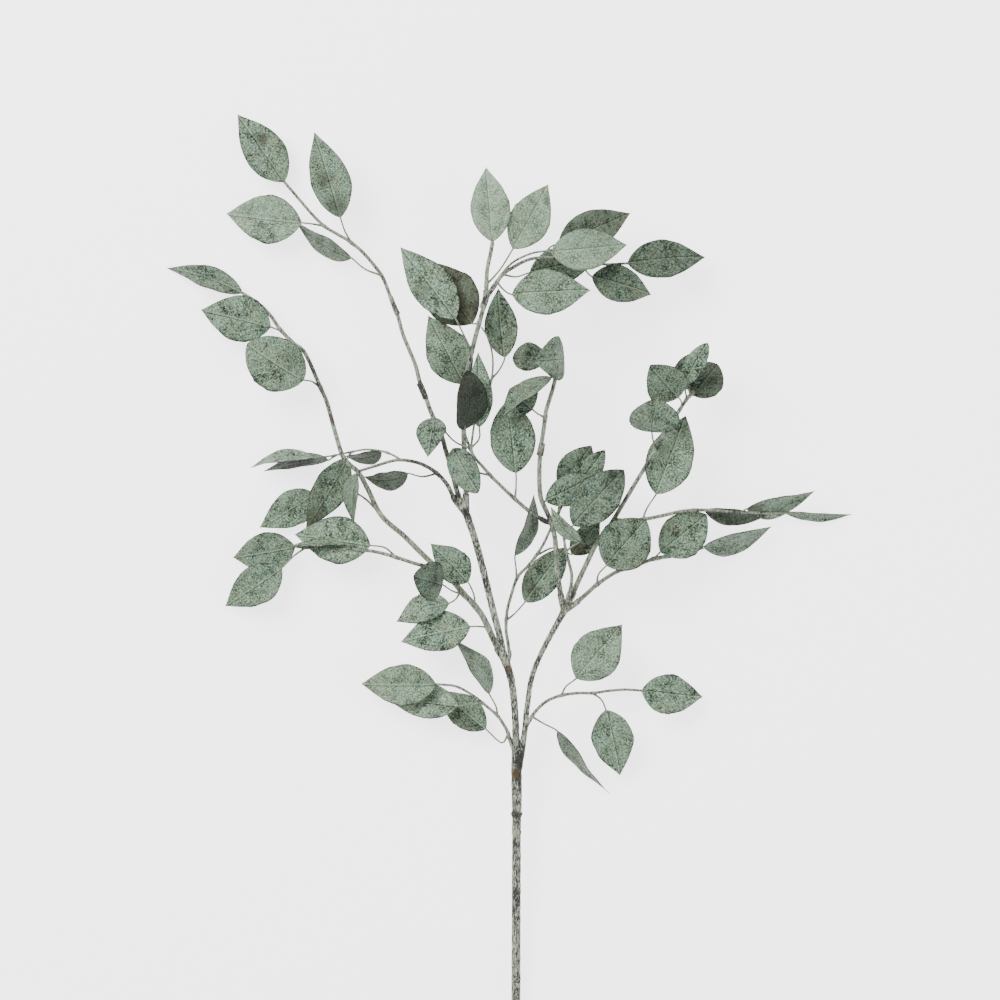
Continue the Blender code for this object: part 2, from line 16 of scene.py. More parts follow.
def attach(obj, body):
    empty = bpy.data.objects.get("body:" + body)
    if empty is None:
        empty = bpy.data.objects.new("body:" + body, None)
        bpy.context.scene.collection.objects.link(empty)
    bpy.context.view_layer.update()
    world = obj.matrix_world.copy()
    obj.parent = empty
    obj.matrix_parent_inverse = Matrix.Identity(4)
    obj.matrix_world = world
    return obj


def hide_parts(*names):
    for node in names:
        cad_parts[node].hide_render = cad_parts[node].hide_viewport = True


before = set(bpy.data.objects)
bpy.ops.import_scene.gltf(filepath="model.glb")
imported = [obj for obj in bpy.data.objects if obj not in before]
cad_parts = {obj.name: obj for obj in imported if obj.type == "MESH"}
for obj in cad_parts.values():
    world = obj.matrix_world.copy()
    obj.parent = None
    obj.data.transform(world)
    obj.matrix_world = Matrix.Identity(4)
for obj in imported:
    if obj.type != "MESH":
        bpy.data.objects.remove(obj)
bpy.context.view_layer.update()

# %% [markdown]
# A branch is easiest to measure with a ruler laid on it, so all the places below are millimetres. X is
# to the right, Y runs up the branch from the cut end, and Z is the height above the surface. One short
# form describes a stem, another a leaf, and a spray is one twig with all that grows on it.

# %% Ways to describe a stem, a leaf and a spray
MM = 0.001

# A stem through some points, with its radius at the start and at the end
Twig = namedtuple("Twig", "points start end")

# A leaf, whose stalk leaves the twig at root, passes via and meets the blade at base
LEAF_DEFAULTS = {"roll": 0, "arch": 5, "fold": 0.14, "twist": 0, "blunt": 0}
Leaf = namedtuple("Leaf", ["root", "via", "base", "tip", "width", *LEAF_DEFAULTS],
                  defaults=LEAF_DEFAULTS.values())

# A spray's twigs and leaves, and the place and the name of each other spray that it bears
Spray = namedtuple("Spray", "name twigs leaves sockets", defaults=[()])

# %% [markdown]
# The bare lower stem swells into rings where older twigs dropped off, and it forks into a left and a
# right leader. Each point has its own radius, so a ring is one wider point between two narrow ones.
# The sockets are short collars, and each one names the spray that stands in it.

# %% The stem and its two leaders
LEFT_STEM = [
    (0, -12, 3.4, 4.0), (0, 30, 3.4, 4.0), (0, 110, 8.6, 4.0), (0, 174, 13.6, 4.0),
    (0, 177, 13.9, 4.35), (0, 180, 14.1, 4.0), (0.3, 250, 19.6, 4.0), (0.5, 308, 24.2, 4.0),
    (0.5, 310, 24.4, 4.6), (0.5, 312, 24.5, 4.0), (0.6, 323, 25.3, 4.1), (0.8, 327, 25.6, 5.6),
    (0.8, 330, 25.9, 4.3), (0.7, 345, 26.8, 4.7), (0.4, 367, 28, 4.8), (0.2, 380, 29, 4.2),
    (0, 396, 31, 3.3), (-1, 420, 34, 3.1), (-3.5, 444, 37, 3.2), (-7, 458, 39, 3.6),
    (-10, 466, 40.5, 3.9), (-12, 474, 41.5, 3.3), (-14.6, 487, 43, 3.1), (-22, 516, 47, 3.1),
    (-31, 553, 52, 3.2), (-38, 578, 56, 3.2), (-44.5, 597, 58.5, 3.5),
]
RIGHT_STEM = [
    (2.5, 366, 27.8, 3.0), (5.5, 386, 30.5, 3.0), (8, 403, 33, 2.7), (9.5, 419, 36, 2.6),
    (13.5, 447, 40, 2.4), (20, 466, 43, 2.5), (31, 488, 46, 2.5), (41, 506, 49.5, 3.0),
    (43.5, 511, 50.5, 3.3),
]
MAIN_SOCKETS = [
    ((-0.5, 379, 29), "low_left_spray"),
    ((7.5, 400, 32.5), "low_right_spray"),
    ((-8, 462, 39.8), "left_frond"),
    ((-8, 460, 39.5), "centre_thin_twig"),
    ((-44, 595, 58.2), "left_arc_twig"),
    ((-44, 595, 58.2), "top_left_frond"),
    ((-44, 595, 58.2), "centre_frond"),
    ((43, 509, 50), "inner_right_frond"),
    ((43, 509, 50), "right_cluster"),
    ((43, 509, 50), "right_frond"),
    ((43, 509, 50), "right_lower_spray"),
]

# %% [markdown]
# The lowest twig on the left leaves the stem just above the bare part. Its leaves overlap
# towards the tip, and one hangs down edge-on beside the stem.

# %% Low left spray
LOW_LEFT_SPRAY = Spray(
    "low_left_spray",
    [Twig([(-6, 396, 31), (-8, 402, 32), (-12, 409, 33), (-17, 416, 34), (-30, 427, 35),
           (-39, 434, 35), (-54, 442, 34), (-72, 444, 33)], 1.7, 1.1)],
    [Leaf((-72, 444, 33), None, (-72, 444, 33), (-140, 444, 18), 38, roll=-6),
     Leaf((-30, 427, 35), (-42, 426, 31), (-52, 424, 26), (-113, 427, 9), 33, roll=24),
     Leaf((-7, 399, 31.5), (-13, 391, 27), (-27, 403, 18), (-72, 438, 7), 30, roll=8, arch=3),
     Leaf((-17, 416, 34), (-18, 424, 34), (-24, 435, 32), (-56, 484, 24), 34, roll=60)],
)

# %% [markdown]
# The lowest twig on the right arches out and ends level. Three of its leaves lie open to
# the eye, and the fourth is a narrow one, seen nearly from its edge.

# %% Low right spray
LOW_RIGHT_SPRAY = Spray(
    "low_right_spray",
    [Twig([(13, 412.5, 36), (18, 420, 37), (28, 429, 38), (41, 434, 38), (56, 436, 37),
           (69, 436, 35), (84, 438, 32), (99, 439, 29), (113, 438, 26)], 1.7, 1.1)],
    [Leaf((41, 434, 38), (45, 442, 38), (54, 449, 38), (96, 498, 30), 43),
     Leaf((113, 438, 26), None, (113, 438, 26), (169, 432, 12), 37, roll=5),
     Leaf((69, 436, 35), (77, 430, 33), (81, 421, 30), (94, 361, 13), 38, roll=-4),
     Leaf((14.5, 415, 36.3), (24, 409, 34), (37, 402, 30), (85, 344, 10), 22, roll=66,
          arch=3, fold=0.08, twist=40)],
)

# %% [markdown]
# The long frond on the left rises, bends over and droops until its last leaf touches the
# surface. That leaf tip is one of the three low points that the branch rests on.

# %% Left frond
LEFT_FROND = Spray(
    "left_frond",
    [Twig([(-17, 478, 36), (-20.5, 485, 35), (-30, 505, 35), (-40, 518, 36), (-47, 525, 37),
           (-57, 537, 38), (-70, 548, 40), (-84, 561, 42), (-100, 577, 45), (-121, 596, 49),
           (-134, 621, 46), (-142, 635, 47), (-155, 648, 52), (-163, 672, 47), (-170, 697, 40),
           (-176, 711, 37), (-190, 742, 31), (-200, 751, 28), (-212, 763, 25), (-222, 777, 21),
           (-232, 787, 18), (-247, 797, 14)], 3.0, 1.5),
     Twig([(-121, 596, 49), (-137, 612, 33), (-155, 620, 14), (-172, 620, 9)], 1.1, 0.8)],
    [Leaf((-50, 528, 37.5), (-54, 521, 38), (-60, 517, 37), (-108, 500, 22), 31, roll=34),
     Leaf((-25, 495, 35), (-32, 496, 38), (-41, 496, 40), (-104, 482, 33), 37, roll=14),
     Leaf((-47, 525, 37), (-57, 528, 46), (-66, 534, 55), (-92, 542, 88), 36, roll=8, arch=3, blunt=1),
     Leaf((-37, 514, 35.5), (-38, 525, 42), (-43, 536, 46), (-77, 571, 51), 31, roll=10),
     Leaf((-247, 797, 14), None, (-247, 797, 14), (-316, 820, 0.6), 24, roll=34, arch=6),
     Leaf((-212, 763, 25), (-216, 764, 24), (-221, 766, 23), (-285, 782, 9), 43, roll=6),
     Leaf((-176, 711, 37), (-184, 717, 38), (-191, 718, 38), (-242, 751, 44), 50, roll=-12, blunt=1),
     Leaf((-172, 620, 9), None, (-182, 616, 8), (-232, 585, 13), 33, roll=-12, arch=3)],
    [((-68, 546, 39.7), "left_side_twig")],
)

# %% [markdown]
# A level twig leaves the left frond and carries the light leaves on the far left.

# %% Left side twig
LEFT_SIDE_TWIG = Spray(
    "left_side_twig",
    [Twig([(-78, 550, 39), (-90, 552.5, 38.5), (-110, 559, 37), (-125, 563, 35),
           (-139, 565, 33.5), (-155, 566, 31.5), (-172, 566.5, 29), (-190, 567, 26),
           (-199, 568, 24)], 1.9, 1.2)],
    [Leaf((-108, 558.4, 37.2), (-118, 567, 35), (-131, 569, 31), (-200, 579, 16), 43, roll=6),
     Leaf((-139, 565, 33.5), (-146, 569, 35), (-153, 570, 35), (-205, 568, 30), 13, roll=58,
          arch=3),
     Leaf((-199, 568, 24), None, (-199, 568, 24), (-256, 558, 6), 37, roll=-6),
     Leaf((-190, 567, 26), (-201, 559, 28), (-211, 549, 26), (-263, 514, 9), 36, roll=-4)],
)

# %% [markdown]
# A thin twig arches over the left frond. Many of its leaves are seen from their edges.

# %% Left arc twig
LEFT_ARC_TWIG = Spray(
    "left_arc_twig",
    [Twig([(-57, 614, 62.5), (-62, 624, 62.5), (-70, 633, 61.5), (-80, 640, 59.5),
           (-90, 644, 58), (-103, 646, 56.5), (-112, 645, 56), (-125, 641, 56.5),
           (-141, 636, 58)], 2.1, 1.3),
     Twig([(-103, 646, 56.5), (-112, 651, 51), (-121, 654, 46), (-135, 655.5, 40),
           (-150, 653, 35), (-165, 650, 32), (-183, 648, 30)], 1.1, 0.8)],
    [Leaf((-183, 648, 30), None, (-183, 648, 30), (-240, 639, 18), 28, roll=68),
     Leaf((-163, 650, 32.4), (-166, 648, 30), (-169, 646, 27), (-228, 636, 10), 24, roll=60,
          arch=3),
     Leaf((-116, 652.5, 48.8), (-118, 653, 47), (-121, 654, 44), (-155, 650, 26), 26, roll=-64,
          arch=4),
     Leaf((-71, 634, 61.3), (-84, 631, 58), (-97, 634, 54), (-137, 631, 45), 32, roll=-58),
     Leaf((-148, 653.4, 35.7), (-150, 651, 34), (-152, 648, 32), (-190, 584, 11), 32, roll=-12,
          arch=4),
     Leaf((-141, 636, 58), None, (-143, 634, 57), (-146, 589, 41), 26, roll=56, arch=4)],
)

# %% [markdown]
# The highest frond on the left is bare for most of its length. Short thick pieces on it
# are knuckles, where the twig once grew on from a bud.

# %% Top left frond
TOP_LEFT_FROND = Spray(
    "top_left_frond",
    [Twig([(-52.5, 616, 60), (-55, 625, 60), (-58, 638, 60), (-63, 654, 60), (-67, 668, 60),
           (-76, 688, 59), (-80, 699, 58), (-83, 707, 57.5), (-86, 714, 57), (-90, 730, 55),
           (-96, 745, 54), (-102, 760, 52), (-107, 778, 50), (-112, 790, 48), (-121, 812, 44),
           (-137, 832, 40), (-150, 843, 37), (-160, 849, 34), (-173, 857, 30), (-185, 869, 26),
           (-197, 883, 23), (-209, 897, 20)], 2.4, 1.3),
     Twig([(-81, 701, 58), (-84.5, 710, 57.6), (-87, 715, 57)], 2.7, 2.9),
     Twig([(-106.5, 777, 50.2), (-109, 783, 49.4), (-113, 793, 47.6)], 2.6, 2.1)],
    [Leaf((-209, 897, 20), None, (-209, 897, 20), (-252, 959, 7), 38, roll=8),
     Leaf((-148, 841.5, 37.4), (-154, 852, 40), (-158, 864, 42), (-182, 942, 31), 36, roll=10),
     Leaf((-173, 857, 30), (-184, 859, 31), (-193, 860, 30), (-262, 869, 10), 44, roll=-5),
     Leaf((-121, 812, 44), (-136, 818, 39), (-148, 828, 34), (-199, 862, 12), 28, roll=-58,
          arch=4)],
)

# %% [markdown]
# The tall middle frond carries the two upright leaves at its top and the dark one behind.

# %% Centre frond
CENTRE_FROND = Spray(
    "centre_frond",
    [Twig([(-45, 616, 60), (-45, 626, 60.5), (-46, 645, 62), (-47, 670, 64), (-47, 690, 66),
           (-46, 710, 68), (-43, 730, 71), (-38, 750, 74), (-34, 765, 77), (-30, 780, 79),
           (-27, 792, 81), (-26, 815, 82), (-23, 830, 82), (-21, 841, 81)], 2.5, 1.8),
     Twig([(-46, 711, 68), (-43, 727, 72.5), (-39, 745, 77), (-35, 760, 80), (-30, 777, 82),
           (-27, 790, 82)], 1.4, 1.4),
     Twig([(-30, 782, 79.5), (-27, 791, 81), (-26.5, 798, 81.5)], 3.0, 3.0)],
    [Leaf((-21, 841, 81), None, (-21, 841, 81), (-27, 909, 64), 36, roll=6),
     Leaf((-26.3, 803, 81.6), (-14, 817, 78), (-3, 835, 73), (29, 894, 54), 37, roll=8),
     Leaf((-40, 743, 73), (-46, 756, 82), (-54, 772, 87), (-104, 837, 72), 38, roll=10),
     Leaf((-33, 768, 77.3), (-36, 768, 75), (-39, 768, 72), (-78, 825, 60), 49, roll=-12),
     Leaf((-46.5, 700, 67), (-48, 707, 66), (-46.5, 714, 64), (-79, 776, 52), 40, roll=4)],
    [((-28, 789, 80.5), "top_right_spray")],
)

# %% [markdown]
# Two arching twigs leave the top of the middle frond and droop to the right.

# %% Top right spray
TOP_RIGHT_SPRAY = Spray(
    "top_right_spray",
    [Twig([(-18.5, 803, 84), (-12, 812, 86), (-3, 818, 86), (8, 824, 83), (20, 827, 76),
           (45, 827, 62), (60, 824, 56), (80, 822, 50), (100, 823, 45)], 1.9, 1.1),
     Twig([(-14, 809, 85.5), (-8, 818, 89), (1, 825, 91), (15, 831, 89), (28, 833, 85)], 1.2,
          0.9)],
    [Leaf((28, 833, 85), None, (31, 832, 84), (100, 839, 66), 38, roll=6),
     Leaf((28, 833, 85), (31, 837, 78), (38, 840, 71), (103, 868, 54), 37, roll=10),
     Leaf((-12, 812, 86), (0, 810, 78), (12, 814, 67), (71, 825, 38), 33, roll=-12),
     Leaf((-17, 805, 84.6), (-11, 798, 85), (-4, 794, 84), (67, 798, 72), 41, roll=-4),
     Leaf((60, 824, 56), (63, 816, 54), (68, 811, 51), (122, 795, 32), 34, roll=-10),
     Leaf((100, 823, 45), None, (100, 823, 45), (171, 829, 24), 36, roll=-14)],
)

# %% [markdown]
# A thin twig crosses the middle of the branch from right to left, in front of the stem.

# %% Diagonal twig
DIAGONAL_TWIG = Spray(
    "diagonal_twig",
    [Twig([(22, 593.5, 64.5), (13, 599, 65.5), (0, 610, 67), (-15, 624, 69), (-22, 631, 70),
           (-30, 640, 71), (-37, 648, 71.5), (-41, 656, 72), (-44, 664, 73), (-47, 673, 76)],
          2.0, 1.1),
     Twig([(-40.5, 655, 72), (-39, 668, 66), (-36, 684, 60), (-28, 700, 56), (-22, 718, 54),
           (-21, 738, 57), (-25, 755, 62), (-31, 765, 68)], 1.1, 0.8)],
    [Leaf((-47, 673, 76), None, (-47, 673, 76), (-44, 726, 96), 36, roll=38, arch=8, blunt=1),
     Leaf((-41, 656, 72), (-33, 665, 71), (-33, 675, 71), (-34, 743, 79), 24, roll=8, arch=4),
     Leaf((-41, 656, 72), (-57, 664, 72), (-73, 684, 73), (-79, 648, 99), 27, roll=12, arch=3),
     Leaf((-23, 632, 70), (-38, 637, 70), (-57, 656, 73), (-34, 616, 96), 27, roll=10, arch=3, blunt=1),
     Leaf((-1, 611, 66.9), (0, 622, 65), (0, 634, 62), (-7, 700, 42), 41, roll=3, blunt=0.6),
     Leaf((-22, 719, 54), (-15, 727, 53), (-10, 738, 51), (-16, 801, 38), 30, roll=-8)],
)

# %% [markdown]
# A thin twig starts at the collar of the left leader and winds up through the middle.

# %% Centre thin twig
CENTRE_THIN_TWIG = Spray(
    "centre_thin_twig",
    [Twig([(-6.3, 475, 45.3), (-7.4, 483, 47.8), (-9, 494, 50), (-8, 510, 52), (-5, 522, 53),
           (1, 540, 54), (10, 550, 55), (18, 560, 56), (25, 571, 56), (31, 584, 55),
           (38, 598, 54), (42, 606, 53)], 1.6, 1.2)],
    [Leaf((42, 606, 53), None, (42, 606, 53), (80, 655, 47), 26, roll=6, arch=4, blunt=0.8),
     Leaf((38, 598, 54), (39, 608, 48), (40, 620, 44), (68, 659, 37), 32, roll=8, arch=4, blunt=0.5),
     Leaf((-8.5, 502, 51), (-1, 508, 48), (8, 518, 45), (45, 567, 38), 31, roll=-6, blunt=0.7),
     Leaf((0.5, 539, 54), (0, 549, 54), (-1, 560, 53), (16, 615, 48), 28, roll=60),
     Leaf((18, 560, 56), (34, 567, 50), (50, 561, 45), (76, 592, 40), 24, roll=10, arch=3)],
)

# %% [markdown]
# The inner right-hand frond stands nearly upright and bears small, dark leaves.

# %% Inner right frond
INNER_RIGHT_FROND = Spray(
    "inner_right_frond",
    [Twig([(40, 526, 53.5), (39, 532, 54.5), (37, 545, 57), (36, 560, 59), (35, 575, 61),
           (32, 588, 63), (29, 596, 64), (25, 605, 65), (22, 613, 66), (21, 625, 67),
           (21, 640, 68), (22, 655, 69), (25, 675, 70), (27, 690, 71), (30, 700, 71),
           (33, 710, 71), (36, 722, 71), (39, 733, 71)], 2.5, 1.8),
     Twig([(21.3, 650, 68.7), (22.6, 656, 69.2), (23.4, 661, 69.4)], 3.2, 2.9)],
    [Leaf((39, 733, 71), None, (43, 738, 73), (14, 735, 100), 40, roll=-4, fold=0.2),
     Leaf((36, 722, 71), (34, 730, 70), (28, 736, 68), (-3, 738, 56), 26, roll=12, arch=6, blunt=1),
     Leaf((36, 721, 71), None, (32, 720, 73), (-12, 684, 76), 24, roll=48, arch=6, fold=0.2),
     Leaf((26, 684, 70.5), (20, 687, 68), (15, 691, 65), (-6, 710, 56), 40, roll=-6, arch=3, blunt=0.5),
     Leaf((24.6, 606, 65), None, (26, 609, 64.5), (75, 634, 54), 27, roll=8, arch=4)],
    [((31.6, 589, 63.2), "diagonal_twig")],
)

# %% [markdown]
# A short twig above the right-hand fork holds the leaves where the branch is densest.

# %% Right cluster
RIGHT_CLUSTER = Spray(
    "right_cluster",
    [Twig([(48, 527, 56), (49.5, 533, 58), (50, 543, 61), (47, 556, 65), (44, 568, 68),
           (43, 578, 70)], 1.8, 1.2)],
    [Leaf((43, 577, 70), (46, 583, 71), (51, 587, 71), (97, 637, 60), 40, roll=-6, blunt=0.7),
     Leaf((45, 564, 67), (51, 569, 72), (58, 573, 75), (31, 604, 78), 20, roll=-50, arch=4)],
)

# %% [markdown]
# The outer right-hand frond ends in a tuft of leaves that lie over each other.

# %% Right frond
RIGHT_FROND = Spray(
    "right_frond",
    [Twig([(52, 528, 50), (56, 537, 51), (63, 552, 52.5), (72, 570, 54), (85, 588, 55),
           (94, 603, 56), (112, 633, 57), (126, 656, 58), (138, 677, 58), (147, 691, 57),
           (153, 700, 56), (160, 708, 54)], 2.6, 1.4)],
    [Leaf((126, 656, 58), (123, 664, 60), (122, 671, 63), (126, 701, 96), 46, roll=4, arch=3, blunt=1),
     Leaf((147, 691, 57), (149, 697, 60), (146, 702, 63), (120, 731, 84), 38, roll=-8, arch=3, blunt=0.6),
     Leaf((153, 700, 56), (153, 704, 54), (152, 709, 52), (160, 743, 40), 28, roll=6, arch=3, blunt=0.5),
     Leaf((157, 704, 55), (155, 709, 59), (151, 714, 62), (172, 751, 72), 19, roll=-8, arch=4, blunt=1),
     Leaf((160, 708, 54), (160, 706, 50), (159, 704, 47), (182, 732, 38), 33, roll=6, arch=3, blunt=1)],
    [((86, 589.5, 55.1), "right_middle_spray")],
)

# %% [markdown]
# A level twig reaches far to the right. Its last leaf touches the surface, and its tip is
# another of the three low points.

# %% Right middle spray
RIGHT_MIDDLE_SPRAY = Spray(
    "right_middle_spray",
    [Twig([(95, 591.5, 53.5), (104, 592, 52), (114, 592.5, 50), (132, 596, 47), (150, 600, 43),
           (169, 601, 38), (187, 600, 33), (205, 599, 27), (217, 598.5, 23.5), (229, 598, 20),
           (242, 599, 17)], 2.0, 1.1)],
    [Leaf((114, 592.5, 50), (118, 603, 48), (126, 615, 45), (153, 686, 38), 42, roll=4, blunt=0.3),
     Leaf((242, 599, 17), None, (242, 599, 17), (304, 597, 0.6), 12, roll=50, arch=4),
     Leaf((205, 599, 27), (206, 601, 28), (208, 602, 28), (270, 618, 11), 32, roll=56),
     Leaf((160, 600.5, 40.5), (165, 601, 35), (170, 601, 29), (228, 596, 9), 22, roll=48)],
)

# %% [markdown]
# The lowest of the right-hand twigs leaves the fork and runs level below the other one.

# %% Right lower spray
RIGHT_LOWER_SPRAY = Spray(
    "right_lower_spray",
    [Twig([(57, 520, 47.5), (65, 527, 46.8), (73, 534, 46), (90, 545, 43), (108, 551, 40),
           (124, 557, 37), (139, 560, 34), (154, 562.5, 31), (168, 567, 28)], 2.2, 1.3)],
    [Leaf((73, 534, 46), (74, 543, 53), (81, 551, 60), (117, 592, 66), 48, roll=0, arch=4, blunt=0.8),
     Leaf((124, 557, 37), (127, 560, 37), (130, 563, 36), (172, 597, 29), 41, roll=8, blunt=0.7),
     Leaf((168, 567, 28), None, (169, 568, 28), (231, 586, 9), 34, roll=56),
     Leaf((124, 557, 37), (127, 556, 33), (131, 557, 29), (171, 566, 17), 13, roll=-60,
          arch=3)],
)

# %% [markdown]
# The list keeps the sprays in one order, so that every run makes the same branch.

# %% All the sprays
SPRAYS = [
    LOW_LEFT_SPRAY, LOW_RIGHT_SPRAY, LEFT_FROND, LEFT_SIDE_TWIG, LEFT_ARC_TWIG,
    TOP_LEFT_FROND, CENTRE_FROND, TOP_RIGHT_SPRAY, DIAGONAL_TWIG, CENTRE_THIN_TWIG,
    INNER_RIGHT_FROND, RIGHT_CLUSTER, RIGHT_FROND, RIGHT_MIDDLE_SPRAY, RIGHT_LOWER_SPRAY,
]
print(len(SPRAYS), "sprays")

# %% [markdown]
# No two leaves of a real branch have the same colour. Most are sage green, some are darker or browner,
# and a few carry stains. A look says how pale or dark a leaf is, from 1 to -1, how brown it is, and where
# its stains are. The tone is partly the leaf's own colour and partly painted shade, darker on leaves that
# lie under others or turn away from the light. A stain is a share of the leaf's length, a side from -1 to
# 1, a radius in millimetres and a strength, which is below nought for a dark stain and above it for a
# brown one. Some dark stains are real and some are painted shadow, where another leaf lies over this one.
# The looks are in the order of the leaves of their spray.

# %% How each leaf differs
Look = namedtuple("Look", "tone brown stains", defaults=(0.0, ()))

LEAF_LOOKS = {
    "low_left_spray": [
        Look(0.3), Look(0.15), Look(-0.1, brown=0.1, stains=[(0.3, 0.7, 12, 0.6)]),
        # The dark stain at the tip of the fourth leaf is painted shadow, where the leaf above shades it
        Look(-0.3, stains=[(0.9, 0.0, 12, -0.5)]),
    ],
    "low_right_spray": [
        Look(0.25), Look(0.05), Look(0.0, brown=0.08), Look(-0.35, brown=0.1),
    ],
    "left_frond": [
        Look(-0.1), Look(0.0), Look(-0.5), Look(-0.2), Look(-0.35, brown=0.1), Look(-0.15),
        Look(0.05, stains=[(0.35, -0.6, 9, -0.45)]), Look(0.15, stains=[(0.45, 0.1, 8, -0.3)]),
    ],
    "left_side_twig": [
        Look(0.1), Look(-0.1), Look(-0.2), Look(-0.1),
    ],
    "left_arc_twig": [
        Look(-0.2), Look(-0.6, brown=0.2), Look(-0.65, brown=0.2), Look(-0.65, brown=0.2),
        Look(-0.25, brown=0.15, stains=[(0.85, 0.6, 14, 0.9)]), Look(-0.25, brown=0.15),
    ],
    "top_left_frond": [
        Look(-0.15, stains=[(0.6, -0.3, 6, -0.45), (0.55, -0.3, 5, 0.9)]),
        Look(-0.1, stains=[(0.15, 0.1, 9, 0.7), (0.1, -0.3, 6, -0.4), (0.45, 0.3, 7, 0.7)]),
        Look(0.35, stains=[(0.35, 0.9, 8, -0.4)]), Look(-0.35, brown=0.2),
    ],
    "centre_frond": [
        Look(0.65), Look(0.6), Look(-0.05, stains=[(0.45, 0.5, 7, 0.5)]),
        Look(-0.35, brown=0.8), Look(0.0, brown=0.1, stains=[(0.15, 0.0, 16, -0.4)]),
    ],
    "top_right_spray": [
        Look(0.5), Look(-0.35, brown=0.4), Look(-0.45, brown=0.2), Look(0.2), Look(-0.4), Look(-0.6),
    ],
    "diagonal_twig": [
        Look(-0.9, brown=0.15, stains=[(0.8, 0.7, 12, 0.4)]), Look(-0.15), Look(-0.3),
        Look(-0.3), Look(-0.2), Look(-0.15, brown=0.15),
    ],
    "centre_thin_twig": [
        Look(-0.3), Look(-0.3, brown=0.1, stains=[(0.9, 0.0, 9, 0.5)]),
        Look(-0.15, brown=0.1, stains=[(0.2, 0.5, 10, 0.8)]), Look(-0.5),
        Look(-0.2, brown=0.2, stains=[(0.1, 0.0, 9, 0.9)]),
    ],
    "inner_right_frond": [
        Look(-0.3, brown=0.05), Look(-0.6, brown=0.1), Look(-0.3, brown=0.1), Look(-0.25), Look(-0.15),
    ],
    "right_cluster": [
        Look(-0.4, brown=0.05, stains=[(0.85, 0.0, 12, -0.3)]), Look(0.2),
    ],
    "right_frond": [
        Look(-0.1), Look(-0.3), Look(-0.6), Look(-0.15),
        Look(-0.5, brown=0.3, stains=[(0.6, -0.5, 12, 0.5)]),
    ],
    "right_middle_spray": [
        Look(0.05, stains=[(0.5, 0.3, 7, 0.4), (0.92, 0.0, 12, -0.5)]), Look(-0.25),
        Look(-0.25, stains=[(0.08, 0.0, 9, 0.7)]), Look(-0.6, brown=0.3),
    ],
    "right_lower_spray": [
        Look(-0.25, brown=0.05), Look(-0.05, brown=0.05, stains=[(0.3, 0.9, 10, 0.6)]), Look(-0.3),
        Look(-0.65, brown=0.2),
    ],
}
print(sum(len(looks) for looks in LEAF_LOOKS.values()), "leaves have a look of their own")

# %% [markdown]
# A stem between two measured points is never straight. A Catmull-Rom curve runs through every measured
# point and bends smoothly between them, so it keeps the measured places, which a B-spline would cut
# short. The radius is carried along as a fourth number.

# %% Smooth routes
def catmull_rom(before, start, end, after, share):
    """The point at a share of the way from start to end, on the curve through all four."""
    square = share * share
    cube = square * share
    return 0.5 * (2 * start + (end - before) * share
                  + (2 * before - 5 * start + 4 * end - after) * square
                  + (3 * start - before - 3 * end + after) * cube)


def smooth_route(knots, spacing):
    """Knots of x, y, z and radius, filled in until they lie about spacing apart."""
    knots = [Vector(knot) for knot in knots]
    padded = [2 * knots[0] - knots[1]] + knots + [2 * knots[-1] - knots[-2]]
    route = []
    for number in range(len(knots) - 1):
        four = padded[number:number + 4]
        gap = (four[2].to_3d() - four[1].to_3d()).length
        steps = max(1, round(gap / spacing))
        for step in range(steps):
            knot = catmull_rom(*four, step / steps)
            knot[3] = four[1][3] + (four[2][3] - four[1][3]) * step / steps
            route.append(knot)
    route.append(knots[-1])
    return route


def with_radii(points, start, end):
    """Adds a radius to each point, from start to end."""
    last = len(points) - 1
    return [(*point, start + (end - start) * number / last) for number, point in enumerate(points)]


# %% [markdown]
# Where a leaf stalk leaves a twig, the twig has a small knuckle. It is a soft bump in the radius, as wide
# as the stalk, at each stalk's root. The whole set of stems of a spray is then one curve object with a
# round bevel, and its mesh gets a slight roughness along the surface normals, as young bark has.

# %% Stems
KNUCKLE_HEIGHT = 0.4
KNUCKLE_REACH = 2.4


def with_knuckles(route, roots):
    """Raises a soft bump on the route beside every root."""
    for knot in route:
        for root in roots:
            far = (knot.to_3d() - Vector(root)).length
            knot[3] += KNUCKLE_HEIGHT * math.exp(-(far / KNUCKLE_REACH) ** 2)
    return route


def stems_mesh(name, routes, bevel):
    """One closed round mesh for each route, all in one mesh."""
    curve = bpy.data.curves.new(name, "CURVE")
    curve.dimensions = "3D"
    curve.bevel_depth = MM
    curve.bevel_resolution = bevel
    curve.use_fill_caps = True
    for route in routes:
        spline = curve.splines.new("POLY")
        spline.points.add(len(route) - 1)
        for point, knot in zip(spline.points, route):
            point.co = (knot[0] * MM, knot[1] * MM, knot[2] * MM, 1.0)
            point.radius = knot[3]
    guide = bpy.data.objects.new(name, curve)
    bpy.context.scene.collection.objects.link(guide)
    depsgraph = bpy.context.evaluated_depsgraph_get()
    mesh = bpy.data.meshes.new_from_object(guide.evaluated_get(depsgraph))
    bpy.data.objects.remove(guide, do_unlink=True)
    return mesh


def roughen(work, height, grain):
    """Moves each vertex along its normal by a noise of that height and grain, in millimetres."""
    for vert in work.verts:
        vert.co += vert.normal * (height * MM * noise.noise(vert.co / (grain * MM)))
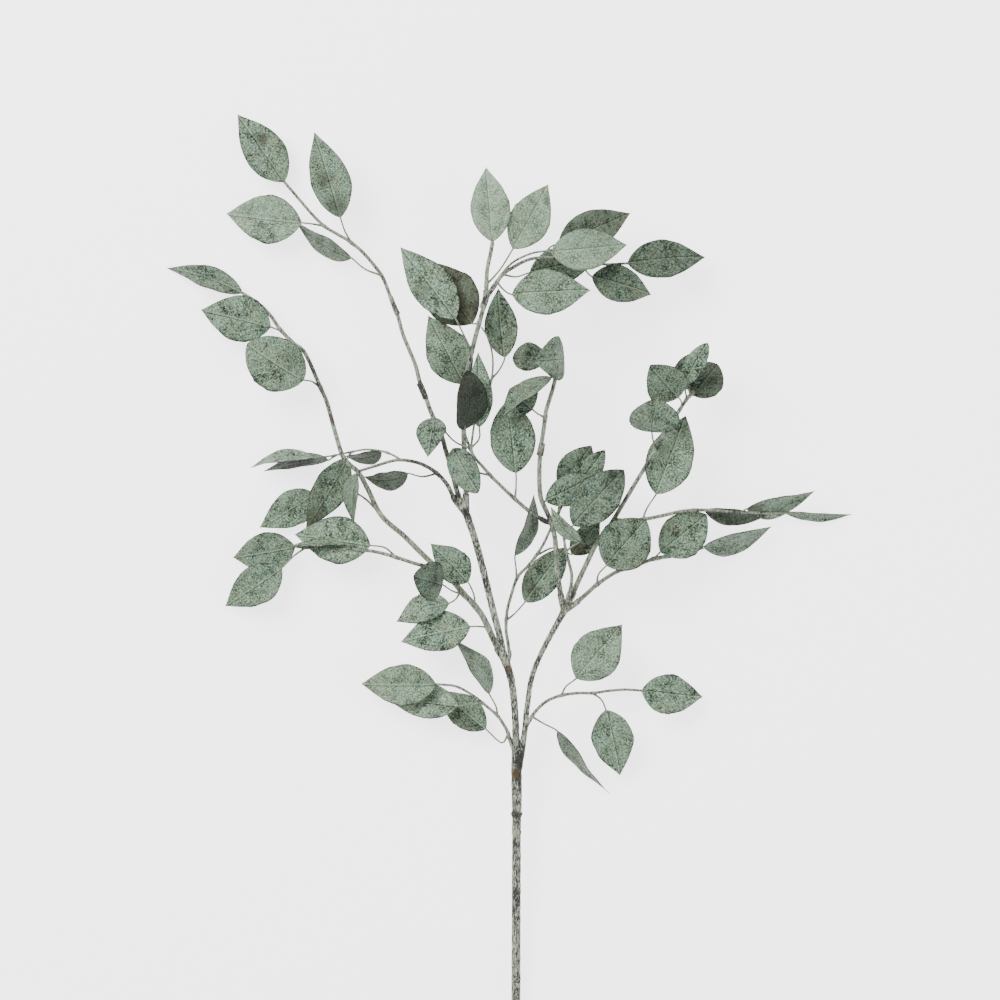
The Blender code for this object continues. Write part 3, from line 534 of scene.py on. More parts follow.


# %% [markdown]
# Some marks on the bark are too clear to leave to chance: a cream ring below the first fork, dark
# knuckles, a brown patch at the fork. Each mark is a place, a radius and how strong it is, and its
# strength is stored on the vertices, where the bark material reads it. So are two more numbers: how young
# the bark is, because young bark is green and plain, and how far it faces the side, where painted shade
# makes it darker.

# %% Marks on the bark
DARK_MARKS = [
    ((-1, 362, 30), 5.0, 1.0), ((4, 368, 30), 4.0, 0.8), ((5, 378, 31), 3.5, 0.6),
    ((6, 389, 32), 3.0, 0.5), ((-83, 706, 58), 3.5, 1.0), ((-86, 713, 57), 3.0, 1.0),
    ((120, 640, 58), 5.0, 0.6), ((130, 660, 58), 5.0, 0.6), ((-165, 683, 44), 5.0, 0.8),
    ((24, 592, 65), 4.5, 0.8), ((15, 598, 66), 4.0, 0.7), ((-109, 783, 50), 3.0, 0.6),
    ((22, 655, 69), 4.0, 0.5), ((0, 327, 26), 3.0, 0.7), ((0, 310, 24), 2.5, 0.5),
    ((0, 177, 14), 2.5, 0.5), ((1, 250, 20), 5.0, 0.5), ((-2, 290, 23), 4.0, 0.5),
    ((-28, 790, 82), 4.0, 0.6), ((-69, 546, 40), 3.0, 0.6), ((-44, 596, 59), 4.0, 0.5),
    ((0, -12, 3.4), 5.0, 0.8), ((43, 508, 50), 3.0, 0.4), ((-9, 455, 39), 3.0, 0.5),
    ((-186, 730, 33), 12.0, 0.6), ((-176, 711, 37), 12.0, 0.6), ((-168, 690, 42), 12.0, 0.5),
    ((-75, 637, 61), 12.0, 0.7), ((-90, 644, 58), 12.0, 0.5), ((-60, 620, 62), 10.0, 0.6),
]
CREAM_MARKS = [
    ((-10, 464, 41), 1.5, 0.8), ((45, 512, 51), 2.5, 0.6), ((-122, 599, 49), 2.5, 0.6),
    ((22, 656, 69), 2.0, 0.5), ((1, 333, 27), 2.0, 0.4), ((0, 309, 28), 1.5, 0.8),
    ((-2, 400, 31), 3.0, 0.3), ((-38, 578, 56), 3.0, 0.3), ((0, -12, 3.4), 2.6, 0.9),
]
BROWN_MARKS = [
    ((-2, 364, 32), 4.0, 0.9), ((-8, 459, 42), 2.0, 0.5), ((-166, 684, 46), 3.0, 0.6),
]
MARK_FADE = 4.0
MARK_SLOPE = 1.6
PLAINER_WHEN_YOUNG = 0.5


def mark_strength(place, marks):
    """How strongly the nearest marks show at a place, from 0 to 1."""
    strength = 0.0
    for centre, radius, most in marks:
        far = (place / MM - Vector(centre)).length / (radius + MARK_FADE)
        strength = max(strength, most * min(1.0, max(0.0, MARK_SLOPE - MARK_SLOPE * far)))
    return strength


def store_marks(work, young):
    """Writes the dark, cream and brown marks, how young the bark is, and the facing used for painted side
    shade on the vertices. Young bark is green and plain.
    """
    names = ("dark_mark", "cream_mark", "brown_mark", "young", "side")
    dark, cream, brown, green, flank = [work.verts.layers.float.new(name) for name in names]
    for vert in work.verts:
        vert[dark] = mark_strength(vert.co, DARK_MARKS) - PLAINER_WHEN_YOUNG * young
        vert[cream] = mark_strength(vert.co, CREAM_MARKS)
        vert[brown] = mark_strength(vert.co, BROWN_MARKS)
        vert[green] = young
        # Painted shade: how far the vertex faces sideways, so that the sides of a stem are darker
        vert[flank] = 1.0 - max(vert.normal.z, 0.0)


# %% [markdown]
# A leaf of this kind is a pointed oval, widest nearer the stalk. It is folded a little along its midrib,
# arched from base to tip, and its edge waves. The formula below gives the same form as the packed
# model's leaf, and the fine grid adds what that plain blade lacks: the groove over the midrib, the waved
# edge and an outline that is not quite even, with small nicks in it. Each noise is read at a place of its
# own, so that the two edges of a leaf are not alike.

# %% The form of a leaf
OPEN_POWER = 0.8
CLOSE_POWER = 1.2
BLUNT_OPENS = 0.15
BLUNT_CLOSES = 0.5
GROOVE_DEPTH = 0.3
GROOVE_WIDTH = 1.3
WAVE_HEIGHT = 2.4
WAVES = 3.2
WAVE_REACH = 1.5
OUTLINE_UNEVEN = 0.06
OUTLINE_BENDS = 5.0
OUTLINE_NICKS = 0.03
NICKS = 17.0
EDGES_APART = 3.0
WAVES_APART = 2.0
NICK_SEED = 3.0
WAVE_SEED = 7.0


def half_width(blade, share):
    """Half the leaf's width at a share of its length."""
    opens = OPEN_POWER - BLUNT_OPENS * blade.blunt
    closes = CLOSE_POWER - BLUNT_CLOSES * blade.blunt
    widest = opens / (opens + closes)
    opening = (share / widest) ** opens
    closing = ((1 - share) / (1 - widest)) ** closes
    return 0.5 * blade.width * opening * closing


def blade_frame(blade):
    """The leaf's own axes: along the midrib, across the blade, and out of its upper face."""
    base = Vector(blade.base)
    along = (Vector(blade.tip) - base).normalized()
    across = Vector((0, 0, 1)).cross(along).normalized()
    across = Matrix.Rotation(math.radians(blade.roll), 3, along) @ across
    return base, along, across, along.cross(across)


def blade_length(blade):
    """From the base to the tip, in a straight line."""
    return (Vector(blade.tip) - Vector(blade.base)).length


def fine_relief(blade, share, side, seed):
    """The outline's unevenness as a factor, and the lift of the waved edge and the groove."""
    middle = math.sin(math.pi * share)
    flank = 1.0 if side >= 0 else -1.0
    uneven = noise.noise(Vector((share * OUTLINE_BENDS, flank * EDGES_APART, seed)))
    nicks = noise.noise(Vector((share * NICKS, flank * EDGES_APART, seed + NICK_SEED)))
    factor = 1.0 + (OUTLINE_UNEVEN * uneven + OUTLINE_NICKS * nicks) * middle
    wave = noise.noise(Vector((share * WAVES, flank * WAVES_APART + side, seed + WAVE_SEED)))
    lift = WAVE_HEIGHT * wave * abs(side) ** WAVE_REACH * middle
    across = side * half_width(blade, share)
    lift -= GROOVE_DEPTH * math.exp(-(across / GROOVE_WIDTH) ** 2) * middle
    return factor, lift


def blade_point(blade, share, side, factor=1.0, extra=0.0):
    """A point of the leaf, from a share of its length and a side from -1 to 1."""
    base, along, across, up = blade_frame(blade)
    half = half_width(blade, share) * factor
    turn = math.radians(blade.twist) * (share - 0.5)
    sideways = side * half
    upward = blade.fold * abs(side) * half
    turned = sideways * math.cos(turn) - upward * math.sin(turn)
    raised = sideways * math.sin(turn) + upward * math.cos(turn)
    raised += blade.arch * math.sin(math.pi * share) + extra
    return base + along * (blade_length(blade) * share) + across * turned + up * raised


# %% [markdown]
# Each leaf starts as a flat grid. Its rows are pushed onto the leaf's form, closer together near the
# midrib, where the groove needs them. The flat plan of the leaf, in metres, is kept as a UV map, so the
# veins can be drawn on it at their real spacing. Tone and painted shade, stain, edge and a seed are kept
# as attributes, and the seed, which is another number for each leaf, gives each leaf a pattern of its own.

# %% Leaves as one thin sheet for each spray
LEAF_ROWS = 34
LEAF_COLUMNS = 16
CROWD_TO_MIDRIB = 1.4
BLADE_THICKNESS = 0.5
STAIN_FADE = 1.5
TIP_START = 0.93
TIP_DARKNESS = 0.6
SEED_OF_SPRAY = 3.7
SEED_OF_LEAF = 0.61
WELD = 1e-6


def stain_at(blade, share, side, stains):
    """Brown and dark strength at a point of the leaf; a negative strength is a dark stain, which on some
    leaves is painted shadow of a leaf above.
    """
    brown = dark = 0.0
    here = Vector((share * blade_length(blade), side * half_width(blade, share)))
    for where, flank, radius, strength in stains:
        spot = Vector((where * blade_length(blade), flank * half_width(blade, where)))
        fade = min(1.0, max(0.0, STAIN_FADE - (here - spot).length / radius))
        if strength > 0:
            brown = max(brown, strength * fade)
        else:
            dark = max(dark, -strength * fade)
    return brown, dark


def add_leaf(work, layers, blade, style, seed):
    """Adds one shaped leaf to the spray's mesh."""
    grid = bmesh.ops.create_grid(work, x_segments=LEAF_ROWS, y_segments=LEAF_COLUMNS, size=0.5)
    plan = {}
    for vert in grid["verts"]:
        share = min(max(vert.co.x + 0.5, 0.0), 1.0)
        flat = 2 * vert.co.y
        side = math.copysign(abs(flat) ** CROWD_TO_MIDRIB, flat)
        factor, extra = fine_relief(blade, share, side, seed)
        plan[vert] = (share * blade_length(blade) * MM, side * half_width(blade, share) * MM)
        vert.co = blade_point(blade, share, side, factor, extra) * MM
        brown, dark = stain_at(blade, share, side, style.stains)
        tip = max(0.0, (share - TIP_START) / (1.0 - TIP_START))
        # The leaf's tone, which is partly painted shade, less its dark stains and its dark tip
        vert[layers["tone"]] = style.tone - dark - TIP_DARKNESS * tip
        vert[layers["brown"]] = max(style.brown, brown)
        vert[layers["edge"]] = abs(side)
        vert[layers["seed"]] = seed
    for face in {face for vert in grid["verts"] for face in vert.link_faces}:
        face.smooth = True
        for loop in face.loops:
            loop[layers["plan"]].uv = plan[loop.vert]


def leaves_mesh(spray):
    """All the leaves of a spray as open sheets in one mesh."""
    work = bmesh.new()
    layers = {name: work.verts.layers.float.new(name) for name in ("tone", "brown", "edge", "seed")}
    layers["plan"] = work.loops.layers.uv.new("plan")
    for number, blade in enumerate(spray.leaves):
        style = LEAF_LOOKS[spray.name][number]
        seed = SPRAYS.index(spray) * SEED_OF_SPRAY + number * SEED_OF_LEAF
        add_leaf(work, layers, blade, style, seed)
    bmesh.ops.remove_doubles(work, verts=work.verts, dist=WELD)
    bmesh.ops.dissolve_degenerate(work, edges=work.edges, dist=WELD)
    mesh = bpy.data.meshes.new(spray.name + "_leaves")
    work.to_mesh(mesh)
    work.free()
    return mesh


# %% [markdown]
# Colours are easiest to pick as the hex values of a paint chart, which are in sRGB. Blender
# mixes light with linear values, so one function turns the first into the second. A second small
# function adds a node, sets what it is given and links the rest, so a material reads as a recipe.

# %% Colours and nodes
def linear(hex_colour):
    """An sRGB hex colour as the linear colour that Blender mixes."""
    parts = [int(hex_colour[place:place + 2], 16) / 255 for place in (1, 3, 5)]
    bent = [part / 12.92 if part <= 0.04045 else ((part + 0.055) / 1.055) ** 2.4 for part in parts]
    return (*bent, 1.0)


def add(tree, kind, settings=None, **inputs):
    """Adds a node, gives it these settings, and sets or links its inputs, which are named or numbered."""
    node = tree.nodes.new(kind)
    for name, value in (settings or {}).items():
        setattr(node, name, value)
    for name, value in inputs.items():
        key = int(name[1:]) if name[0] == "i" and name[1:].isdigit() else name.replace("_", " ")
        if isinstance(value, bpy.types.NodeSocket):
            tree.links.new(value, node.inputs[key])
        else:
            node.inputs[key].default_value = value
    return node


# %% [markdown]
# Every pattern below is built in the same way. A noise of a known size is ramped to a share, and with
# that share a colour is laid over what is there already, as a painter glazes one layer over another.
# A ramp is three numbers: the level where the share starts, the level where it is full, and the most
# that it covers. Five small helpers are all that this takes.

# %% Helpers for patterns
PATTERN_ROUGHNESS = 0.65


def mixed(tree, share, below, above):
    """The colour below with this share of the colour above laid over it."""
    return add(tree, "ShaderNodeMix", {"data_type": "RGBA"}, Factor=share, i6=below, i7=above).outputs[2]


def ramped(tree, value, ramp):
    """Nought where the value is at the ramp's start, and its most where the value is at its end."""
    start, end, most = ramp
    return add(tree, "ShaderNodeMapRange", i0=value, i1=start, i2=end, i3=0.0, i4=most).outputs[0]


def calculated(tree, operation, first, second=0.0, third=0.0):
    """One step of arithmetic on up to three values."""
    node = add(tree, "ShaderNodeMath", {"operation": operation}, i0=first, i1=second, i2=third)
    return node.outputs[0]


def stored(tree, name):
    """A value that was stored on the vertices."""
    return add(tree, "ShaderNodeAttribute", {"attribute_name": name}).outputs["Fac"]


def patterned(tree, place, size, detail=2.0):
    """A noise node whose patches are about size millimetres across, with finer ones inside."""
    return add(tree, "ShaderNodeTexNoise", Vector=place, Scale=1 / (size * MM), Detail=detail,
               Roughness=PATTERN_ROUGHNESS)


# %% [markdown]
# The veins of this leaf are pale lines. The midrib runs along the middle, with a thin dark line on one
# side of it, which is painted shadow that makes it look raised. The side veins leave it about six
# millimetres apart and lean towards the tip. A saw-tooth of the distance along the leaf, drawn back by
# the distance from the midrib, gives them all at once, and a ripple keeps them from being straight.

# %% Veins
SIDE_VEIN_SPACING = 6.5
SIDE_VEIN_LEAN = 0.85
SIDE_VEIN_BEND = 5.0
SIDE_VEIN_WIDTH = 0.8
MIDRIB_WIDTH = 0.9
VEIN_FADE = 0.3
MIDRIB_SHADOW_PLACE = 1.4
MIDRIB_SHADOW_HALF_WIDTH = 0.4
MIDRIB_SHADOW_SHARE = 0.65
MIDRIB_RAMP = (MIDRIB_WIDTH * MM, VEIN_FADE * MIDRIB_WIDTH * MM, 0.35)
SIDE_VEIN_RAMP = (SIDE_VEIN_WIDTH * MM, VEIN_FADE * SIDE_VEIN_WIDTH * MM, 0.25)


def vein_lines(tree, along, across, ripple):
    """How strong the pale veins are, and the painted shadow line beside the midrib."""
    aside = calculated(tree, "ABSOLUTE", across)
    lean = calculated(tree, "MULTIPLY_ADD", aside, -SIDE_VEIN_LEAN, along)
    bent = calculated(tree, "MULTIPLY_ADD", ripple, SIDE_VEIN_BEND * MM, lean)
    beside = calculated(tree, "PINGPONG", bent, SIDE_VEIN_SPACING * MM / 2)
    midrib = ramped(tree, aside, MIDRIB_RAMP)
    side_veins = ramped(tree, beside, SIDE_VEIN_RAMP)
    # Painted shadow: a thin dark line on one side of the midrib, so that the midrib looks raised
    midrib_shadow = calculated(tree, "COMPARE", across, MIDRIB_SHADOW_PLACE * MIDRIB_WIDTH * MM,
                        MIDRIB_SHADOW_HALF_WIDTH * MIDRIB_WIDTH * MM)
    return (calculated(tree, "MAXIMUM", midrib, side_veins),
            calculated(tree, "MULTIPLY", midrib_shadow, MIDRIB_SHADOW_SHARE))


# %% [markdown]
# A eucalyptus leaf has a thin coat of pale wax over a green blade. The wax lies in clouds one or two
# centimetres wide, some warmer, some cooler and some darker, which is partly painted shade. Where it is
# worn, fine dark scratches and clusters of flecks show the blade, and where it is whole, a net of small
# veins a couple of millimetres wide shows through it. All sizes here are millimetres on the flat plan of
# the leaf. Only the scratches and the flecks are coarser than real ones, so that they show.

# %% Sizes and levels of the wax
MOTTLE_SIZE = 5.5
CLOUD_SIZE = 18.0
PATCH_SIZE = 11.0
RIPPLE_SIZE = 4.0
RIPPLE_REACH = 2.2
NET_SIZE = 2.4
GRAIN_SIZE = 1.4
FLECK_SIZE = 1.3
FLECK_CROWDING = 0.9
STROKES_WHERE_WHOLE = 0.25
STROKES_WHERE_WORN = 0.6

MOTTLE_RAMP = (0.36, 0.64, 1.0)
DARK_CLOUD_AND_SHADE_RAMP = (0.46, 0.62, 0.3)
WARM_RAMP = (0.48, 0.62, 0.5)
COOL_RAMP = (0.48, 0.62, 0.4)
WORN_RAMP = (0.40, 0.60, 1.0)
PALE_STROKE_RAMP = (0.53, 0.58, 0.55)
DARK_STROKE_RAMP = (0.47, 0.42, 1.0)
NET_RAMP = (0.14, 0.02, 0.4)
FLECKED_RIM_RAMP = (0.95, 1.0, 0.2)
FLECK_RAMP = (1.05, 1.15, 0.85)
DARK_EDGE_RAMP = (0.9, 1.0, 0.4)
DARK_TONE_AND_SHADE_RAMP = (0.0, -1.0, 0.92)
PALE_TONE_RAMP = (0.0, 1.0, 0.3)
STAIN_RAMP = (0.42, 0.54, 1.0)


def fleck_share(tree, patch, drifted):
    """Where the wax is flecked away: in clusters, and in dashes along the edge."""
    fleck = patterned(tree, drifted, FLECK_SIZE, detail=3.0).outputs[0]
    rim = ramped(tree, stored(tree, "edge"), FLECKED_RIM_RAMP)
    crowd = calculated(tree, "MULTIPLY_ADD", patch, FLECK_CROWDING, rim)
    return ramped(tree, calculated(tree, "ADD", fleck, crowd), FLECK_RAMP)


# %% [markdown]
# The layers are laid on in the order in which they lie on a real leaf: green and wax first, then the
# scratches in it, the veins with the painted shadow beside the midrib, the flecks, and last the tone and
# the stains of this one leaf, where the tone is partly painted shade. The lower face takes the same recipe
# with a darker grey-brown. Leaf skin is matte, because the wax is a fine powder, so it is rough and has a
# weak gloss.

# %% Leaf materials
LeafColours = namedtuple("LeafColours", "mid pale deep fleck vein brown warm cool")
UPPER_COLOURS = LeafColours("#3f5645", "#667f68", "#151c17", "#101512", "#b7cdb0", "#42382b",
                            "#595b42", "#5f8272")
LOWER_COLOURS = LeafColours("#48493c", "#62645a", "#24251f", "#191814", "#6c6e60", "#3a2e22",
                            "#554a38", "#596057")
RELIEF = 0.8
RELIEF_STRENGTH = 0.7
LEAF_ROUGHNESS = 0.62
LEAF_IOR = 1.45
LEAF_GLOSS = 0.2


def leaf_material(name, colours):
    """Matte, slightly waxy leaf skin."""
    mid, pale, deep, dark, bright, brown, warm, cool = (linear(colour) for colour in colours)
    material = bpy.data.materials.new(name)
    material.use_nodes = True
    tree = material.node_tree
    shader = tree.nodes["Principled BSDF"]
    plan = add(tree, "ShaderNodeUVMap", {"uv_map": "plan"})
    flat = add(tree, "ShaderNodeSeparateXYZ", i0=plan.outputs[0])
    along, across = flat.outputs[0], flat.outputs[1]
    place = add(tree, "ShaderNodeCombineXYZ", X=along, Y=across, Z=stored(tree, "seed")).outputs[0]
    ripple = patterned(tree, place, RIPPLE_SIZE)
    drift = add(tree, "ShaderNodeVectorMath", {"operation": "MULTIPLY_ADD"}, i0=ripple.outputs[1],
                i1=(RIPPLE_REACH * MM, RIPPLE_REACH * MM, 0.0), i2=place).outputs[0]

    # Mottled wax from plain green to pale bloom; broad clouds warmer, cooler or darker, the dark partly
    # painted shade
    mottle = patterned(tree, place, MOTTLE_SIZE, detail=5.0).outputs[0]
    colour = mixed(tree, ramped(tree, mottle, MOTTLE_RAMP), mid, pale)
    cloud = patterned(tree, place, CLOUD_SIZE, detail=1.0)
    tint = add(tree, "ShaderNodeSeparateColor", i0=cloud.outputs[1])
    # Darker broad clouds: partly the wax, partly painted shade across the leaf
    colour = mixed(tree, ramped(tree, cloud.outputs[0], DARK_CLOUD_AND_SHADE_RAMP), colour, deep)
    colour = mixed(tree, ramped(tree, tint.outputs[1], WARM_RAMP), colour, warm)
    colour = mixed(tree, ramped(tree, tint.outputs[2], COOL_RAMP), colour, cool)

    # Fine strokes in the wax, pale ones, and dark ones that are clearest where the wax is worn
    patch = patterned(tree, place, PATCH_SIZE, detail=3.0).outputs[0]
    worn = ramped(tree, patch, WORN_RAMP)
    grain = patterned(tree, drift, GRAIN_SIZE, detail=3.0).outputs[0]
    colour = mixed(tree, ramped(tree, grain, PALE_STROKE_RAMP), colour, bright)
    scratched = calculated(tree, "MULTIPLY_ADD", worn, STROKES_WHERE_WORN, STROKES_WHERE_WHOLE)
    scratches = calculated(tree, "MULTIPLY", ramped(tree, grain, DARK_STROKE_RAMP), scratched)
    colour = mixed(tree, scratches, colour, deep)

    # The pale net where the wax is whole, and the veins with the painted shadow line beside the midrib
    net = add(tree, "ShaderNodeTexVoronoi", {"feature": "DISTANCE_TO_EDGE"}, Vector=drift,
              Scale=1 / (NET_SIZE * MM)).outputs[0]
    whole = calculated(tree, "SUBTRACT", 1.0, worn)
    net_share = calculated(tree, "MULTIPLY", ramped(tree, net, NET_RAMP), whole)
    band, midrib_shadow_line = vein_lines(tree, along, across, ripple.outputs[0])
    paleness = calculated(tree, "MAXIMUM", band, net_share)
    colour = mixed(tree, paleness, colour, bright)
    # Painted shadow beside the midrib
    colour = mixed(tree, midrib_shadow_line, colour, deep)

    # Dark flecks, a darker edge, and the tone of this leaf: darker below nought, partly as painted shade,
    # and paler above it
    flecks = fleck_share(tree, patch, drift)
    colour = mixed(tree, flecks, colour, dark)
    colour = mixed(tree, ramped(tree, stored(tree, "edge"), DARK_EDGE_RAMP), colour, deep)
    tone = stored(tree, "tone")
    # Painted shade: a tone below nought darkens the leaf
    colour = mixed(tree, ramped(tree, tone, DARK_TONE_AND_SHADE_RAMP), colour, dark)
    colour = mixed(tree, ramped(tree, tone, PALE_TONE_RAMP), colour, bright)
    stain = calculated(tree, "MULTIPLY", stored(tree, "brown"), ramped(tree, grain, STAIN_RAMP))
    colour = mixed(tree, stain, colour, brown)

    # Relief: veins and net stand out by a fraction of a millimetre, the painted shadow line and the flecks
    # are hollow
    relief = calculated(tree, "SUBTRACT", calculated(tree, "SUBTRACT", paleness, midrib_shadow_line), flecks)
    relief = calculated(tree, "ADD", relief, grain)
    bump = add(tree, "ShaderNodeBump", Strength=RELIEF_STRENGTH, Distance=RELIEF * MM, Height=relief)
    tree.links.new(colour, shader.inputs["Base Color"])
    tree.links.new(bump.outputs[0], shader.inputs["Normal"])
    shader.inputs["Roughness"].default_value = LEAF_ROUGHNESS
    shader.inputs["IOR"].default_value = LEAF_IOR
    shader.inputs["Specular IOR Level"].default_value = LEAF_GLOSS
    return material


UPPER_LEAF = leaf_material("waxy_leaf_upper_face", UPPER_COLOURS)
LOWER_LEAF = leaf_material("matte_leaf_lower_face", LOWER_COLOURS)
print("leaf materials made")

# %% [markdown]
# The young bark is smooth and grey-green, with streaks that run up the stem and dark flecks. The streaks
# are noise stretched along Y, the way the branch runs, on Object coordinates, because stems have no flat
# plan. The youngest bark is plainer and greener, and the sides of a stem get painted shade, which makes
# thin twigs look round. The marks stored on the vertices are broken up by the same streaks, so they don't
# look like dots. The sizes are millimetres, and the flecks are coarser than real ones, so that they show.

# %% Bark material
STREAK_SIZE = 1.6
STREAK_STRETCH = 0.25
BARK_CLOUD_SIZE = 12.0
BARK_FLECK_SIZE = 0.9
BARK_MARK_PULL = 0.20
BARK_CLOUD_PULL = 0.35
BARK_RELIEF = 0.4
BARK_RELIEF_STRENGTH = 0.6
BARK_ROUGHNESS = 0.75
STREAK_RAMP = (0.40, 0.60, 1.0)
BARK_FLECK_RAMP = (0.67, 0.73, 0.95)
BROKEN_RAMP = (0.35, 0.55, 1.0)
BARK_PAINTED_SIDE_SHADE_RAMP = (0.3, 1.0, 0.6)
BARK_COLOURS = ("#495146", "#b4bba8", "#10110e", "#aaa78c", "#54401f", "#66745f")


def bark_material():
    """Matte young bark, from mid grey-green to pale streaks, with flecks and the stored marks."""
    mid, pale, dark, cream, brown, green = (linear(colour) for colour in BARK_COLOURS)
    material = bpy.data.materials.new("young_smooth_bark")
    material.use_nodes = True
    tree = material.node_tree
    shader = tree.nodes["Principled BSDF"]
    place = add(tree, "ShaderNodeTexCoord").outputs["Object"]
    stretched = add(tree, "ShaderNodeMapping", Vector=place, Scale=(1.0, STREAK_STRETCH, 1.0)).outputs[0]
    streak = patterned(tree, stretched, STREAK_SIZE, detail=4.0).outputs[0]
    colour = mixed(tree, ramped(tree, streak, STREAK_RAMP), mid, pale)
    colour = mixed(tree, stored(tree, "young"), colour, green)
    fleck = patterned(tree, stretched, BARK_FLECK_SIZE, detail=3.0).outputs[0]
    cloud = patterned(tree, place, BARK_CLOUD_SIZE, detail=1.0).outputs[0]
    level = calculated(tree, "MULTIPLY_ADD", stored(tree, "dark_mark"), BARK_MARK_PULL, fleck)
    level = calculated(tree, "MULTIPLY_ADD", cloud, BARK_CLOUD_PULL, level)
    flecks = ramped(tree, level, BARK_FLECK_RAMP)
    colour = mixed(tree, flecks, colour, dark)
    broken = ramped(tree, streak, BROKEN_RAMP)
    for mark, mark_colour in (("cream_mark", cream), ("brown_mark", brown)):
        colour = mixed(tree, calculated(tree, "MULTIPLY", stored(tree, mark), broken), colour, mark_colour)
    # Painted shade: the sides of each stem are darker
    colour = mixed(tree, ramped(tree, stored(tree, "side"), BARK_PAINTED_SIDE_SHADE_RAMP), colour, dark)
    relief = calculated(tree, "SUBTRACT", streak, flecks)
    bump = add(tree, "ShaderNodeBump", Strength=BARK_RELIEF_STRENGTH, Distance=BARK_RELIEF * MM,
               Height=relief)
    tree.links.new(colour, shader.inputs["Base Color"])
    tree.links.new(bump.outputs[0], shader.inputs["Normal"])
    shader.inputs["Roughness"].default_value = BARK_ROUGHNESS
    return material


BARK = bark_material()
print("bark material made")

# %% [markdown]
# A leaf is thinner than a millimetre, but it still has two faces and an edge. The Solidify modifier gives
# the open sheet its thickness, and puts the second material on the lower face.

# %% Make the leaves of each spray
def place_piece(name, mesh, materials, node):
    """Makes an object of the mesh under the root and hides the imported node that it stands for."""
    piece = bpy.data.objects.new(name, mesh)
    bpy.context.scene.collection.objects.link(piece)
    for material in materials:
        mesh.materials.append(material)
    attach(piece, "root")
    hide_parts(node)
    return piece


def make_leaves(spray):
    """A spray's blades as one piece, thickened from its middle sheet to both sides."""
    piece = place_piece(spray.name + "_leaves", leaves_mesh(spray),
                        [UPPER_LEAF, LOWER_LEAF], spray.name)
    shell = piece.modifiers.new("thickness", "SOLIDIFY")
    shell.thickness = BLADE_THICKNESS * MM
    shell.offset = 0.0
    shell.material_offset = 1


for spray in SPRAYS:
    make_leaves(spray)
print(sum(len(spray.leaves) for spray in SPRAYS), "leaves made")

# %% [markdown]
# Each stalk leaves its twig with a small foot, thins out, meets the blade and runs on under it as the
# midrib, which is what holds a real blade out. The twig itself starts inside its collar, so no gap shows
# where it grows out of the stem.

# %% Routes of the twigs and stalks
TWIG_SPACING = 2.5
STALK_SPACING = 3.0
STALK_RADII = (1.15, 0.8, 0.75)
MIDRIB_SHARES = (0.14, 0.35, 0.6, 0.88)
MIDRIB_RADII = (0.62, 0.5, 0.36, 0.16)
MIDRIB_DEPTH = 0.45
COLLAR_DEPTH = 4.0
SAME_PLACE = 1.0


def stalk_route(blade):
    """From the twig to the blade, and on under the blade as its midrib."""
    up = blade_frame(blade)[3]
    knots = [(*blade.root, STALK_RADII[0])]
    if blade.via is not None:
        knots.append((*blade.via, STALK_RADII[1]))
    if (Vector(blade.base) - Vector(knots[-1][:3])).length > SAME_PLACE:
        knots.append((*blade.base, STALK_RADII[2]))
    for share, radius in zip(MIDRIB_SHARES, MIDRIB_RADII):
        point = blade_point(blade, share, 0.0) - up * (MIDRIB_DEPTH + GROOVE_DEPTH)
        knots.append((*point, radius))
    return smooth_route(knots, STALK_SPACING)


def twig_routes(spray):
    """The routes of a spray's own twigs, the first of them rooted in its collar."""
    roots = [blade.root for blade in spray.leaves if blade.via is not None]
    routes = []
    for number, stem in enumerate(spray.twigs):
        points = list(stem.points)
        if number == 0:
            mouth, beyond = Vector(points[0]), Vector(points[1])
            points.insert(0, tuple(mouth - (beyond - mouth).normalized() * COLLAR_DEPTH))
        route = smooth_route(with_radii(points, stem.start, stem.end), TWIG_SPACING)
        routes.append(with_knuckles(route, roots))
    return routes


# %% [markdown]
# A mesh made from a curve has doubled points where its caps meet its sides. They are welded first, and
# the normals are turned outwards before they are used to roughen the bark. The stems of a spray stay
# closed shells that run into each other, just as a twig grows out of the wood of the one that bears it.

# %% Finish the bark
def finished_bark(mesh, height, grain, young):
    """Welds the stems, roughens them and stores their marks."""
    work = bmesh.new()
    work.from_mesh(mesh)
    bmesh.ops.remove_doubles(work, verts=work.verts, dist=WELD)
    bmesh.ops.recalc_face_normals(work, faces=work.faces)
    work.normal_update()
    roughen(work, height, grain)
    store_marks(work, young)
    for face in work.faces:
        face.smooth = True
    work.to_mesh(mesh)
    work.free()
    return mesh


def joined(name, meshes):
    """Several meshes in one."""
    work = bmesh.new()
    for mesh in meshes:
        work.from_mesh(mesh)
    whole = bpy.data.meshes.new(name)
    work.to_mesh(whole)
    work.free()
    return whole


# %% [markdown]
# Every spray of this branch stands in a short collar, about a fifth wider than its twig. A collar is a
# stem too: four points take it from the wood out to a rounded lip, along the line in which the twig
# starts.

# %% Collars
SPRAY_NAMED = {spray.name: spray for spray in SPRAYS}
SOCKET_GROWTH = 1.22
SOCKET_LIP = 5.0
SOCKET_EDGE = 0.8
SOCKET_MOUTH = 0.82
SOCKET_SPACING = 1.2


def socket_route(place, name):
    """The collar that a spray stands in: it grows out of the stem and ends in a rounded lip."""
    stem = SPRAY_NAMED[name].twigs[0]
    mouth, beyond = Vector(stem.points[0]), Vector(stem.points[1])
    out = (beyond - mouth).normalized()
    wide = stem.start * SOCKET_GROWTH
    lip = mouth - out * SOCKET_LIP
    edge = mouth - out * SOCKET_EDGE
    knots = [(*place, stem.start), (*lip, wide), (*edge, wide), (*mouth, wide * SOCKET_MOUTH)]
    return smooth_route(knots, SOCKET_SPACING)


